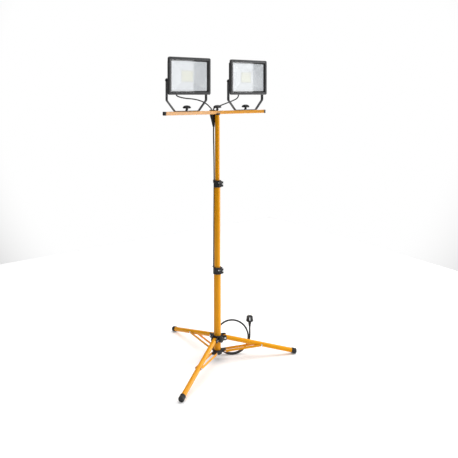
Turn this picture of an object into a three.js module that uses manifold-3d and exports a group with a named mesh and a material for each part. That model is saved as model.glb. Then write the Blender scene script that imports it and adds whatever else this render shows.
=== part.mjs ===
// Twin-head LED work light on a telescopic tripod mast. Millimetres, +Z up, the mast axis is the Z axis,
// the floor is z = 0, the crossbar runs along X and both lamps face -Y.
import * as THREE from "three";
import { mergeVertices } from "three/addons/utils/BufferGeometryUtils.js";
import { ConvexGeometry } from "three/addons/geometries/ConvexGeometry.js";
import Module from "manifold-3d";

const wasm = await Module();
wasm.setup();

// ---- overall sizes ----
const TOTAL_HEIGHT = 1700;
const BAR_HALF = 344.5;
const CAP_LENGTH = 12;
const LAMP_OFFSET = 200.7;
const LEG_LENGTH = 430;
const CLEARANCE = 0.3;
const SLIDE_CLEARANCE = 0.4;

// ---- tripod ----
const LEG_RADIUS = 12.5;
const LEG_WALL = 1.5;
const FOOT_WALL = 2.2;
const FOOT_RADIUS = LEG_RADIUS + CLEARANCE + FOOT_WALL;
const FOOT_LENGTH = 28;
const FOOT_FLOOR = 8.5;
const LEG_END_GAP = 0.5;
const FOOT_CHAMFER = 2.5;
const LEG_PIVOT_Z = 124;
const LEG_ANGLES = { right: -27, rear: 93, front: 213 };
const BRACE_PIVOT_Z = 50;
const BRACE_JOINT = 216.8;
const BRACE_WIDTH = 13;
const BRACE_THICK = 2.5;
const HUB_BELOW_PIVOT = 14;
const HUB_ABOVE_PIVOT = 16;
const LEG_SIDE_GAP = 0.8;
const EAR_THICK = 3;
const EAR_OVERHANG = 8;
const BASE_BELOW_PIVOT = 16;
const BASE_ABOVE_PIVOT = 8;
const BASE_FLOOR = 3;
const LUG_RADIUS = 7;
const PIVOT_BOLT_R = 3;
const BOLT_HEAD_R = 5.5;
const HUB_KNOB_R = 18;

// ---- mast ----
const LOWER_R = 20;
const TUBE_WALL = 1.5;
const LOWER_BUSH = 1.5;
const UPPER_BUSH = 2;
const HUB_WALL = 8;
const BASE_WALL = 7;
const HUB_TO_LEG = 2.5;
const LOWER_COLLAR_Z = 486;
const LOWER_COLLAR_H = 37;
const UPPER_COLLAR_Z = 975;
const UPPER_COLLAR_H = 39;
const COLLAR_WALL = 4.2;
const MIDDLE_INSERT = 61;
const UPPER_INSERT = 79;
const GUIDE_ANGLE = 102;
const EXIT_ANGLE = 35;
const MAST_CABLE_R = 3.75;
const LEAD_R = 3.5;
const CORD_R = 4.8;

// ---- head ----
const BAR_SIZE = 20;
const BAR_WALL = 1.5;
const STUD_R = 3;
const KNOB_R = 24;
const YOKE_THICK = 3;
const YOKE_WIDTH = 22;
const YOKE_FLARE = 47.5;
const YOKE_BEND = 60;
const YOKE_RISE = 168;

// ---- lamps, measured from the tilt axis ----
const LAMP_W = 264;
const LAMP_H = 202;
const LAMP_TOP = 124;
const LAMP_FRONT = -37.5;
const BEZEL_DEPTH = 14;
const BEZEL_LIP = 3;
const BEZEL_FRAME = 15;
const POCKET_FRAME = 10;
const GLASS_THICK = 4;
const HOUSING_INSET = 14;
const HOUSING_BACK = 8;
const FIN_DEPTH = 8;
const FIN_COUNT = 9;
const HEAT_WALL = 11.3;
const LED_W = 76;
const LED_H = 62;
const GLAND_X = -45;
const GLAND_Y = 19;
const BOSS_RISE = 26;
const PIVOT_BOSS_R = 9;
const PIVOT_STUD_R = 4;
const ARM_GAP = 5;

// ---- free cord ----
const COIL_ANGLE = -30;
const COIL_CENTRE_R = 90;
const COIL_HALF_W = 94;
const COIL_HALF_H = 90;
const COIL_BOTTOM_OFFSET = 46;
const COIL_TOP_OFFSET = 76;
const COIL_RADIAL = 4.5;
const COIL_AXIAL = 6.5;
const PLUG_LEAD_R = 194;
const PLUG_Z = 144;

// ---- sizes that follow from the ones above ----
const MIDDLE_R = LOWER_R - TUBE_WALL - LOWER_BUSH;
const UPPER_R = MIDDLE_R - TUBE_WALL - UPPER_BUSH;
const HUB_RADIUS = LOWER_R + HUB_WALL;
const BASE_RADIUS = LOWER_R + BASE_WALL;
const LEG_PIVOT_R = HUB_RADIUS + HUB_TO_LEG + LEG_RADIUS;
const EAR_GAP = LEG_RADIUS + LEG_SIDE_GAP;
const EAR_REACH = LEG_PIVOT_R + EAR_OVERHANG;
const HUB_Z0 = LEG_PIVOT_Z - HUB_BELOW_PIVOT;
const HUB_Z1 = LEG_PIVOT_Z + HUB_ABOVE_PIVOT;
const BASE_Z0 = BRACE_PIVOT_Z - BASE_BELOW_PIVOT;
const BASE_Z1 = BRACE_PIVOT_Z + BASE_ABOVE_PIVOT;
const EXIT_R = LOWER_R + COLLAR_WALL + CORD_R + 5.3;
const PIVOT_Z = TOTAL_HEIGHT - LAMP_TOP;
const BAR_TOP = PIVOT_Z - YOKE_RISE;
const BAR_BOTTOM = BAR_TOP - BAR_SIZE;
const LAMP_MID = LAMP_TOP - LAMP_H / 2;
const HOUSING_W = LAMP_W - 2 * HOUSING_INSET;
const HOUSING_H = LAMP_H - 2 * HOUSING_INSET;
const YOKE_ARM_X = HOUSING_W / 2 + ARM_GAP + YOKE_THICK / 2;
const YOKE_BASE_HALF = YOKE_ARM_X - YOKE_FLARE;
const YOKE_BEND_Z = BAR_TOP + YOKE_BEND;
const BOSS_Z = LAMP_MID - HOUSING_H / 2 + BOSS_RISE;

const deg = Math.PI / 180;
const yellow = () => new THREE.MeshStandardMaterial({ color: 0xf0a514, roughness: 0.35, metalness: 0.1 });
const black = () => new THREE.MeshStandardMaterial({ color: 0x26282a, roughness: 0.6 });
const anthracite = () => new THREE.MeshStandardMaterial({ color: 0x555558, roughness: 0.55, metalness: 0.2 });
const steel = () => new THREE.MeshStandardMaterial({ color: 0xb8babd, roughness: 0.3, metalness: 0.9 });
const rubber = () => new THREE.MeshStandardMaterial({ color: 0x1c1d1e, roughness: 0.8 });
const white = () => new THREE.MeshStandardMaterial({ color: 0xe2e4e8, roughness: 0.3, metalness: 0.3 });
const led = () => new THREE.MeshStandardMaterial({ color: 0xf2f0d8, roughness: 0.4 });
const clear = () => new THREE.MeshStandardMaterial({ color: 0xdfeaf0, roughness: 0.05, transparent: true, opacity: 0.3 });

const group = new THREE.Group();
group.name = "tripod_work_light";

// ---- shape helpers ----
function solid(geometry) {
  const g = geometry.clone();
  g.deleteAttribute("normal");
  g.deleteAttribute("uv");
  const merged = mergeVertices(g, 1e-4);
  return new wasm.Manifold(
    new wasm.Mesh({
      numProp: 3,
      vertProperties: merged.attributes.position.array,
      triVerts: new Uint32Array(merged.index.array),
    }),
  );
}

function geometryOf(manifold) {
  const mesh = manifold.getMesh();
  const g = new THREE.BufferGeometry();
  g.setAttribute("position", new THREE.BufferAttribute(mesh.vertProperties, 3));
  g.setIndex(new THREE.BufferAttribute(mesh.triVerts, 1));
  g.computeVertexNormals();
  return g;
}

function add(name, shape, material, matrix) {
  const geometry = shape.isBufferGeometry ? shape : geometryOf(shape);
  if (matrix) geometry.applyMatrix4(matrix);
  const mesh = new THREE.Mesh(geometry, material);
  mesh.name = name;
  group.add(mesh);
}

// A cylinder along Z from z0 to z1.
function rodZ(r, z0, z1, x = 0, y = 0, segments = 24, rTop = r) {
  const g = new THREE.CylinderGeometry(rTop, r, z1 - z0, segments);
  g.rotateX(Math.PI / 2);
  g.translate(x, y, (z0 + z1) / 2);
  return solid(g);
}

// A cylinder along Y from y0 to y1.
function rodY(r, y0, y1, x = 0, z = 0, segments = 16) {
  const g = new THREE.CylinderGeometry(r, r, y1 - y0, segments);
  g.translate(x, (y0 + y1) / 2, z);
  return solid(g);
}

// A cylinder along X from x0 to x1.
function rodX(r, x0, x1, y = 0, z = 0, segments = 16) {
  const g = new THREE.CylinderGeometry(r, r, x1 - x0, segments);
  g.rotateZ(Math.PI / 2);
  g.translate((x0 + x1) / 2, y, z);
  return solid(g);
}

function block(x0, x1, y0, y1, z0, z1) {
  const g = new THREE.BoxGeometry(x1 - x0, y1 - y0, z1 - z0);
  g.translate((x0 + x1) / 2, (y0 + y1) / 2, (z0 + z1) / 2);
  return solid(g);
}

function tubeZ(rOut, rIn, z0, z1, segments = 24) {
  return rodZ(rOut, z0, z1, 0, 0, segments).subtract(rodZ(rIn, z0 - 1, z1 + 1, 0, 0, segments));
}

function roundedShape(w, h, r) {
  const s = new THREE.Shape();
  s.moveTo(-w / 2 + r, -h / 2);
  s.lineTo(w / 2 - r, -h / 2);
  s.absarc(w / 2 - r, -h / 2 + r, r, -Math.PI / 2, 0);
  s.lineTo(w / 2, h / 2 - r);
  s.absarc(w / 2 - r, h / 2 - r, r, 0, Math.PI / 2);
  s.lineTo(-w / 2 + r, h / 2);
  s.absarc(-w / 2 + r, h / 2 - r, r, Math.PI / 2, Math.PI);
  s.lineTo(-w / 2, -h / 2 + r);
  s.absarc(-w / 2 + r, -h / 2 + r, r, Math.PI, 1.5 * Math.PI);
  return s;
}

// A rounded plate in the XZ plane from y0 to y1, centred on x = 0 and z = mid.
function plateY(w, h, r, y0, y1, mid = 0) {
  const g = new THREE.ExtrudeGeometry(roundedShape(w, h, r), {
    depth: y1 - y0,
    bevelEnabled: false,
    curveSegments: 2,
  });
  g.rotateX(Math.PI / 2);
  g.translate(0, y1, mid);
  return solid(g);
}

// A rounded square section along X from x0 to x1, centred on y = 0 and z = mid.
function sectionX(size, r, x0, x1, mid) {
  const g = new THREE.ExtrudeGeometry(roundedShape(size, size, r), {
    depth: x1 - x0,
    bevelEnabled: false,
    curveSegments: 2,
  });
  g.rotateY(Math.PI / 2);
  g.translate(x0, 0, mid);
  return solid(g);
}

function hull(points) {
  return solid(new ConvexGeometry(points.map((p) => new THREE.Vector3(...p))));
}

// A round cable along a smooth curve through points.
function cable(points, r, steps, sides = 8) {
  const curve = new THREE.CatmullRomCurve3(points.map((p) => new THREE.Vector3(...p)));
  const section = new THREE.Shape();
  for (let i = 0; i <= sides; i++) {
    const a = (i / sides) * 2 * Math.PI;
    if (i === 0) section.moveTo(r, 0);
    else if (i < sides) section.lineTo(r * Math.cos(a), r * Math.sin(a));
    else section.closePath();
  }
  return new THREE.ExtrudeGeometry(section, { steps, extrudePath: curve, bevelEnabled: false });
}

function polar(r, angle, z) {
  return [r * Math.cos(angle * deg), r * Math.sin(angle * deg), z];
}

// A five-lobed mushroom knob with its threaded stud. Its underside seat is at z = 0.
function knob(r, height, stemR, stemH, studR, studLength) {
  const profile = [
    [0, stemH],
    [r * 0.8, stemH],
    [r, stemH + height * 0.22],
    [r * 0.96, stemH + height * 0.45],
    [r * 0.6, stemH + height * 0.88],
    [0, stemH + height],
  ].map(([x, y]) => new THREE.Vector2(x, y));
  const g = new THREE.LatheGeometry(profile, 20);
  g.rotateX(Math.PI / 2);
  let head = solid(g);
  if (head.volume() < 0) throw new Error("knob profile is inside out");
  for (let i = 0; i < 5; i++) {
    const a = (i / 5) * 2 * Math.PI;
    const notch = rodZ(r * 0.3, stemH - 1, stemH + height, r * 1.16 * Math.cos(a), r * 1.16 * Math.sin(a), 8);
    head = head.subtract(notch);
  }
  const stem = rodZ(stemR * 1.35, 0, stemH + 1, 0, 0, 16, stemR);
  const stud = rodZ(studR, -studLength, 1, 0, 0, 12);
  return head.add(stem).add(stud);
}

// ---- mast tubes ----
const LOWER_TUBE_BOTTOM = BASE_Z0 + BASE_FLOOR + CLEARANCE;
const LOWER_STEP = LOWER_COLLAR_Z + LOWER_COLLAR_H / 2;
const UPPER_STEP = UPPER_COLLAR_Z + UPPER_COLLAR_H / 2;
const MAST_TOP = BAR_BOTTOM - CLEARANCE - 3;

add("mast_lower_tube", tubeZ(LOWER_R, LOWER_R - TUBE_WALL, LOWER_TUBE_BOTTOM, LOWER_STEP - CLEARANCE), yellow());
add(
  "mast_middle_tube",
  tubeZ(MIDDLE_R, MIDDLE_R - TUBE_WALL, LOWER_COLLAR_Z + LOWER_COLLAR_H - MIDDLE_INSERT, UPPER_STEP - CLEARANCE),
  yellow(),
);

add(
  "mast_upper_tube",
  tubeZ(
    UPPER_R,
    UPPER_R - TUBE_WALL,
    UPPER_COLLAR_Z + UPPER_COLLAR_H - UPPER_INSERT,
    MAST_TOP - CLEARANCE,
  ),
  yellow(),
);

// ---- plastic insert in the mast top, with a saddle that keys the crossbar ----
let plug = rodZ(UPPER_R - TUBE_WALL - CLEARANCE, MAST_TOP - 34, MAST_TOP + 0.5)
  .add(rodZ(UPPER_R + 1.7, MAST_TOP, MAST_TOP + 3))
  .add(block(-11, 11, BAR_SIZE / 2 + CLEARANCE, BAR_SIZE / 2 + 2.4, MAST_TOP + 0.5, MAST_TOP + 9))
  .add(block(-11, 11, -BAR_SIZE / 2 - 2.4, -BAR_SIZE / 2 - CLEARANCE, MAST_TOP + 0.5, MAST_TOP + 9))
  .subtract(rodZ(STUD_R + CLEARANCE, MAST_TOP - 26, MAST_TOP + 12, 0, 0, 12));
add("mast_top_plug", plug, black());

// ---- clamp collars: a stepped bore, split ears, a hinge pin for the flip lever and cable guides ----
const LEVER_PIN_X = 15.5;
const EAR_HALF = 8;
function collar(name, leverName, zBottom, height, rLower, rUpper, guides) {
  const zTop = zBottom + height;
  const step = zBottom + height / 2;
  const rOut = rLower + COLLAR_WALL;
  const mid = step;
  let body = rodZ(rOut, zBottom, zTop, 0, 0, 24);
  body = body.add(block(-EAR_HALF, EAR_HALF, -rOut - 9, -rLower, zBottom + 2, zTop - 2));
  for (const guide of guides) {
    const [gx, gy] = polar(guide.r, guide.angle, 0);
    body = body.add(rodZ(guide.hole + 2.4, guide.z0, guide.z1, gx, gy, 10));
    const arm = geometryOf(block(rLower, guide.r, -guide.hole - 1, guide.hole + 1, guide.z0, guide.z1));
    arm.applyMatrix4(new THREE.Matrix4().makeRotationZ(guide.angle * deg));
    body = body.add(solid(arm));
  }
  body = body.subtract(rodZ(rLower + CLEARANCE, zBottom - 1, step, 0, 0, 24));
  body = body.subtract(rodZ(rUpper + CLEARANCE, zBottom - 1, zTop + 1, 0, 0, 24));
  for (const guide of guides) {
    const [gx, gy] = polar(guide.r, guide.angle, 0);
    body = body.subtract(rodZ(guide.hole, guide.z0 - 1, guide.z1 + 1, gx, gy, 10));
  }
  body = body.subtract(block(-1.2, 1.2, -rOut - 10, -rUpper / 2, zBottom - 1, zTop + 1));
  const pinY = -rOut - 4.5;
  body = body.add(block(EAR_HALF - 1, LEVER_PIN_X, pinY - 2.6, pinY + 2.6, mid - 4, mid + 4));
  body = body.add(rodZ(3, zBottom + 4, zTop - 4, LEVER_PIN_X, pinY, 10));
  add(name, body, black());

  const sector = new THREE.Shape();
  const r0 = rOut + 2.6;
  const r1 = rOut + 6.2;
  const a0 = -50 * deg;
  const a1 = 12 * deg;
  sector.absarc(0, 0, r1, a0, a1, false);
  sector.absarc(0, 0, r0, a1, a0, true);
  const strip = new THREE.ExtrudeGeometry(sector, {
    depth: height - 10,
    bevelEnabled: false,
    curveSegments: 5,
  });
  strip.translate(0, 0, zBottom + 5);
  const bridgeX = r1 * Math.cos(a0 + 0.12);
  const bridgeY = r1 * Math.sin(a0 + 0.12);
  const bridge = [];
  for (const z of [zBottom + 5, zTop - 5]) {
    bridge.push([LEVER_PIN_X + 1, pinY + 5.5, z]);
    bridge.push([LEVER_PIN_X + 5.5, pinY - 3, z]);
    bridge.push([bridgeX, bridgeY, z]);
    bridge.push([r0 * Math.cos(a0 + 0.12), r0 * Math.sin(a0 + 0.12), z]);
  }
  const lever = rodZ(6.5, zBottom + 5, zTop - 5, LEVER_PIN_X, pinY, 12)
    .add(hull(bridge))
    .add(solid(strip))
    .subtract(rodZ(3.4, zBottom, zTop, LEVER_PIN_X, pinY, 10))
    .subtract(rodZ(7.2, mid - 4.6, mid + 4.6, LEVER_PIN_X, pinY, 12));
  add(leverName, lever, black());
}

const UPPER_GUIDE_R = MIDDLE_R + COLLAR_WALL + MAST_CABLE_R + 0.25;
const LOWER_GUIDE_R = LOWER_R + COLLAR_WALL + MAST_CABLE_R + 0.85;
const UPPER_GUIDE_Z = UPPER_COLLAR_Z + UPPER_COLLAR_H - 8;
const LOWER_GUIDE_Z = LOWER_COLLAR_Z + LOWER_COLLAR_H - 4;
const EXIT_Z = LOWER_COLLAR_Z + 1;
collar("lower_collar", "lower_collar_lever", LOWER_COLLAR_Z, LOWER_COLLAR_H, LOWER_R, MIDDLE_R, [
  { r: LOWER_GUIDE_R, angle: GUIDE_ANGLE, z0: LOWER_GUIDE_Z - 4, z1: LOWER_GUIDE_Z + 4, hole: MAST_CABLE_R + 0.6 },
  { r: EXIT_R, angle: EXIT_ANGLE, z0: EXIT_Z, z1: EXIT_Z + 7, hole: Math.max(CORD_R, MAST_CABLE_R) + 0.6 },
]);
collar("upper_collar", "upper_collar_lever", UPPER_COLLAR_Z, UPPER_COLLAR_H, MIDDLE_R, UPPER_R, [
  { r: UPPER_GUIDE_R, angle: GUIDE_ANGLE, z0: UPPER_GUIDE_Z - 8, z1: UPPER_GUIDE_Z + 8, hole: MAST_CABLE_R + 0.6 },
]);

// ---- tripod base fixed to the lower tube ----
function turned(shape, angle) {
  const g = geometryOf(shape);
  g.rotateZ(angle * deg);
  return g;
}

let base = rodZ(BASE_RADIUS, BASE_Z0, BASE_Z1, 0, 0, 24);
for (const angle of Object.values(LEG_ANGLES)) {
  const lug = block(LOWER_R, LEG_PIVOT_R, -EAR_GAP, EAR_GAP, BRACE_PIVOT_Z - LUG_RADIUS, BRACE_PIVOT_Z + LUG_RADIUS).add(
    rodY(LUG_RADIUS, -EAR_GAP, EAR_GAP, LEG_PIVOT_R, BRACE_PIVOT_Z),
  );
  base = base.add(solid(turned(lug, angle)));
}
base = base.subtract(rodZ(LOWER_R + CLEARANCE, BASE_Z0 + BASE_FLOOR, BASE_Z1 + 20, 0, 0, 24));
add("brace_hub", base, black());

// ---- sliding leg hub ----
let hub = rodZ(HUB_RADIUS, HUB_Z0, HUB_Z1, 0, 0, 24);
for (const angle of Object.values(LEG_ANGLES)) {
  for (const side of [-1, 1]) {
    const y0 = side > 0 ? EAR_GAP : -EAR_GAP - EAR_THICK;
    const ear = block(LOWER_R, EAR_REACH - 5, y0, y0 + EAR_THICK, HUB_Z0, HUB_Z1)
      .add(block(LOWER_R, EAR_REACH, y0, y0 + EAR_THICK, HUB_Z0 + 6, HUB_Z1 - 6))
      .subtract(rodY(PIVOT_BOLT_R + CLEARANCE, y0 - 1, y0 + EAR_THICK + 1, LEG_PIVOT_R, LEG_PIVOT_Z, 10));
    hub = hub.add(solid(turned(ear, angle)));
  }
}
const HUB_MID = (HUB_Z0 + HUB_Z1) / 2;
hub = hub.add(rodY(9, -HUB_RADIUS - 5, -LOWER_R, 0, HUB_MID, 16));
hub = hub.subtract(rodZ(LOWER_R + SLIDE_CLEARANCE, HUB_Z0 - 1, HUB_Z1 + 1, 0, 0, 24));
hub = hub.subtract(rodY(STUD_R + CLEARANCE, -HUB_RADIUS - 8, -LOWER_R, 0, HUB_MID, 12));
add("leg_hub", hub, black());

const hubKnob = geometryOf(knob(HUB_KNOB_R, 11, 7, 4, STUD_R, HUB_RADIUS + 5 - LOWER_R - 0.8));
hubKnob.rotateX(Math.PI / 2);
hubKnob.translate(0, -HUB_RADIUS - 5 - CLEARANCE, HUB_MID);
add("hub_clamp_knob", hubKnob, black());

// ---- legs, feet, pivot bolts and braces ----
const cornerX = LEG_LENGTH - FOOT_CHAMFER;
const LEG_DROP =
  Math.asin(LEG_PIVOT_Z / Math.hypot(cornerX, FOOT_RADIUS)) - Math.atan(FOOT_RADIUS / cornerX);
const JOINT_R = LEG_PIVOT_R + BRACE_JOINT * Math.cos(LEG_DROP);
const JOINT_Z = LEG_PIVOT_Z - BRACE_JOINT * Math.sin(LEG_DROP);
const BRACE_LENGTH = Math.hypot(JOINT_R - LEG_PIVOT_R, JOINT_Z - BRACE_PIVOT_Z);
const BRACE_RISE = Math.atan2(JOINT_Z - BRACE_PIVOT_Z, JOINT_R - LEG_PIVOT_R);

// Places a shape drawn with its pivot at the origin and +X outwards: drop turns +X downwards.
function place(shape, drop, r, z, angle) {
  const g = shape.isBufferGeometry ? shape.clone() : geometryOf(shape);
  g.rotateY(drop);
  g.translate(r, 0, z);
  g.rotateZ(angle * deg);
  return g;
}

for (const [name, angle] of Object.entries(LEG_ANGLES)) {
  const outer = rodX(LEG_RADIUS, -LEG_RADIUS - 1, LEG_LENGTH - FOOT_FLOOR - LEG_END_GAP, 0, 0, 20);
  const inner = rodX(LEG_RADIUS - LEG_WALL, -LEG_RADIUS - 2, LEG_LENGTH, 0, 0, 20);
  const reach = LEG_RADIUS + 7.5;
  const keep = block(0, LEG_LENGTH, -reach, reach, -reach, reach).add(rodY(LEG_RADIUS, -reach, reach, 0, 0, 20));
  const leg = outer
    .subtract(inner)
    .intersect(keep)
    .subtract(rodY(PIVOT_BOLT_R + CLEARANCE, -reach, reach, 0, 0, 12));
  add(name + "_leg", place(leg, LEG_DROP, LEG_PIVOT_R, LEG_PIVOT_Z, angle), yellow());

  const footProfile = [
    [LEG_RADIUS + CLEARANCE, 0],
    [FOOT_RADIUS - 0.8, 0],
    [FOOT_RADIUS, 1.5],
    [FOOT_RADIUS, FOOT_LENGTH - FOOT_CHAMFER],
    [FOOT_RADIUS - FOOT_CHAMFER, FOOT_LENGTH],
    [0, FOOT_LENGTH],
    [0, FOOT_LENGTH - FOOT_FLOOR],
    [LEG_RADIUS + CLEARANCE, FOOT_LENGTH - FOOT_FLOOR],
    [LEG_RADIUS + CLEARANCE, 0],
  ].map(([x, y]) => new THREE.Vector2(x, y));
  const foot = new THREE.LatheGeometry(footProfile, 20);
  foot.rotateZ(-Math.PI / 2);
  foot.translate(LEG_LENGTH - FOOT_LENGTH, 0, 0);
  add(name + "_foot_cap", place(foot, LEG_DROP, LEG_PIVOT_R, LEG_PIVOT_Z, angle), rubber());

  const earOuter = EAR_GAP + EAR_THICK;
  const bolt = rodY(PIVOT_BOLT_R, -earOuter - 1, earOuter + 1, 0, 0, 12)
    .add(rodY(BOLT_HEAD_R, earOuter + CLEARANCE, earOuter + 3, 0, 0, 12))
    .add(rodY(BOLT_HEAD_R, -earOuter - 3, -earOuter - CLEARANCE, 0, 0, 6));
  add(name + "_leg_bolt", place(bolt, 0, LEG_PIVOT_R, LEG_PIVOT_Z, angle), steel());

  for (const [sideName, side] of [["left", 1], ["right", -1]]) {
    const y0 = side > 0 ? EAR_GAP + CLEARANCE : -EAR_GAP - CLEARANCE - BRACE_THICK;
    const y1 = y0 + BRACE_THICK;
    const bar = block(0, BRACE_LENGTH, y0, y1, -BRACE_WIDTH / 2, BRACE_WIDTH / 2)
      .add(rodY(BRACE_WIDTH / 2, y0, y1, 0, 0, 12))
      .add(rodY(BRACE_WIDTH / 2, y0, y1, BRACE_LENGTH, 0, 12));
    add(name + "_brace_" + sideName, place(bar, -BRACE_RISE, LEG_PIVOT_R, BRACE_PIVOT_Z, angle), yellow());
  }
}

// ---- crossbar ----
const barMid = BAR_TOP - BAR_SIZE / 2;
const barEnd = BAR_HALF - CAP_LENGTH;
let bar = sectionX(BAR_SIZE, 2.5, -barEnd, barEnd, barMid).subtract(
  sectionX(BAR_SIZE - 2 * BAR_WALL, 1.5, -barEnd - 1, barEnd + 1, barMid),
);
bar = bar.subtract(rodZ(STUD_R + CLEARANCE, BAR_BOTTOM - 1, BAR_TOP + 1, 0, 0, 12));
for (const side of [-1, 1]) {
  bar = bar.subtract(rodZ(STUD_R + CLEARANCE, barMid, BAR_TOP + 1, side * LAMP_OFFSET, 0, 12));
}
add("crossbar", bar, yellow());

for (const [name, side] of [["left", -1], ["right", 1]]) {
  const x0 = barEnd - 12;
  const cap = sectionX(BAR_SIZE - 2 * BAR_WALL - 2 * CLEARANCE, 1.5, x0, barEnd + 1, barMid).add(
    sectionX(BAR_SIZE + 0.6, 2.8, barEnd + CLEARANCE, BAR_HALF, barMid),
  );
  const g = geometryOf(cap);
  if (side < 0) g.rotateZ(Math.PI);
  add(name + "_bar_cap", g, black());
}

const centreKnob = geometryOf(knob(KNOB_R, 17, 6, 15, STUD_R, 42));
centreKnob.translate(0, 0, BAR_TOP + CLEARANCE);
add("centre_knob", centreKnob, black());

// ---- cable junction behind the crossbar ----
const JUNCTION_TOP = BAR_TOP + 5;
const JUNCTION_BOTTOM = BAR_TOP - 92;
const JUNCTION_X = -UPPER_R - 0.5;
const JUNCTION_Y = UPPER_R + 3;
const JUNCTION_FRONT = Math.max(UPPER_R + 3.3, BAR_SIZE / 2 + 5.8);
const JUNCTION_BACK = JUNCTION_FRONT + 15.2;
const JUNCTION_LEFT = JUNCTION_X - 20;
const JUNCTION_RIGHT = JUNCTION_X + 15;
const junctionPoints = [];
for (const z of [JUNCTION_TOP, JUNCTION_TOP - 21]) {
  junctionPoints.push([JUNCTION_LEFT, JUNCTION_FRONT, z], [JUNCTION_RIGHT, JUNCTION_FRONT, z]);
  junctionPoints.push([JUNCTION_RIGHT, JUNCTION_BACK, z], [JUNCTION_LEFT, JUNCTION_BACK, z]);
}
for (let i = 0; i < 10; i++) {
  const a = (i / 10) * 2 * Math.PI;
  junctionPoints.push([JUNCTION_X + 6 * Math.cos(a), JUNCTION_Y + 6 * Math.sin(a), JUNCTION_BOTTOM]);
}
add("cable_junction", hull(junctionPoints), black());

// ---- mast cable, in three runs between its guides ----
const [ugx, ugy] = polar(UPPER_GUIDE_R, GUIDE_ANGLE, 0);
const [lgx, lgy] = polar(LOWER_GUIDE_R, GUIDE_ANGLE, 0);
add(
  "mast_cable_upper",
  cable(
    [
      [JUNCTION_X, JUNCTION_Y, JUNCTION_BOTTOM - CLEARANCE],
      [JUNCTION_X - 1, JUNCTION_Y - 0.3, JUNCTION_BOTTOM - 40],
      [(JUNCTION_X + ugx) / 2, (JUNCTION_Y + ugy) / 2, (JUNCTION_BOTTOM + UPPER_GUIDE_Z) / 2],
      [ugx, ugy, UPPER_GUIDE_Z + 30],
      [ugx, ugy, UPPER_GUIDE_Z],
    ],
    MAST_CABLE_R,
    12,
  ),
  rubber(),
);
add(
  "mast_cable_middle",
  cable(
    [
      [ugx, ugy, UPPER_GUIDE_Z - CLEARANCE],
      [ugx, ugy, UPPER_GUIDE_Z - 30],
      [(ugx + lgx) / 2, (ugy + lgy) / 2, (UPPER_GUIDE_Z + LOWER_GUIDE_Z) / 2],
      [lgx, lgy, LOWER_GUIDE_Z + 30],
      [lgx, lgy, LOWER_GUIDE_Z],
    ],
    MAST_CABLE_R,
    12,
  ),
  rubber(),
);
const wrap = [
  [lgx, lgy, LOWER_GUIDE_Z - CLEARANCE],
  [lgx, lgy, LOWER_GUIDE_Z - 4],
  [lgx, lgy, LOWER_GUIDE_Z - 7],
];
for (let i = 1; i <= 6; i++) {
  const t = i / 7;
  const angle = GUIDE_ANGLE + t * (EXIT_ANGLE - GUIDE_ANGLE);
  const r = LOWER_GUIDE_R + 0.8 + t * (EXIT_R - LOWER_GUIDE_R - 0.8);
  wrap.push(polar(r, angle, LOWER_GUIDE_Z - 10 - t * 5));
}
wrap.push(polar(EXIT_R, EXIT_ANGLE, EXIT_Z + 13));
wrap.push(polar(EXIT_R, EXIT_ANGLE, EXIT_Z + 8));
wrap.push(polar(EXIT_R, EXIT_ANGLE, EXIT_Z + 4));
add("mast_cable_lower", cable(wrap, MAST_CABLE_R, 18), rubber());

// ---- free cord: a drop from the exit guide, a coil standing on the floor, and the plug's lead ----
const coilDir = [Math.cos(COIL_ANGLE * deg), Math.sin(COIL_ANGLE * deg)];
const coilNormal = [-coilDir[1], coilDir[0]];
function coilOffset(z) {
  return COIL_BOTTOM_OFFSET + ((COIL_TOP_OFFSET - COIL_BOTTOM_OFFSET) * z) / (2 * COIL_HALF_H + 15);
}
function coilPoint(r, z, extra = 0) {
  const d = coilOffset(z) + extra;
  return [coilDir[0] * r + coilNormal[0] * d, coilDir[1] * r + coilNormal[1] * d, z];
}
const coilProfile = [];
for (let i = 0; i <= 8; i++) {
  const a = (i / 8) * 2 * Math.PI;
  coilProfile.push(new THREE.Vector2(1 + (COIL_RADIAL / COIL_HALF_W) * Math.cos(a), COIL_AXIAL * Math.sin(a)));
}
coilProfile[8] = coilProfile[0].clone();
const COIL_LEAN = Math.atan((COIL_TOP_OFFSET - COIL_BOTTOM_OFFSET) / (2 * COIL_HALF_H + 15));
const COIL_Z = COIL_HALF_H * Math.cos(COIL_LEAN) + COIL_RADIAL + 1.5;
const coil = new THREE.LatheGeometry(coilProfile, 28);
coil.scale(COIL_HALF_W, 1, COIL_HALF_H);
coil.rotateX(-COIL_LEAN);
coil.rotateZ(COIL_ANGLE * deg);
coil.translate(...coilPoint(COIL_CENTRE_R, COIL_Z));
add("cord_coil", coil, rubber());

const dropEnd = coilPoint(COIL_CENTRE_R - COIL_HALF_W, COIL_Z + 46);
const dropStart = polar(EXIT_R, EXIT_ANGLE, EXIT_Z + 4 - CLEARANCE);
const drop = [dropStart, [dropStart[0], dropStart[1], EXIT_Z - 30]];
for (const [t, z] of [[0.22, 400], [0.55, 320], [0.82, 240], [0.96, 190]]) {
  drop.push([dropStart[0] + t * (dropEnd[0] - dropStart[0]), dropStart[1] + t * (dropEnd[1] - dropStart[1]), z]);
}
drop.push(dropEnd);
add("cord_drop", cable(drop, CORD_R, 24), rubber());

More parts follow.
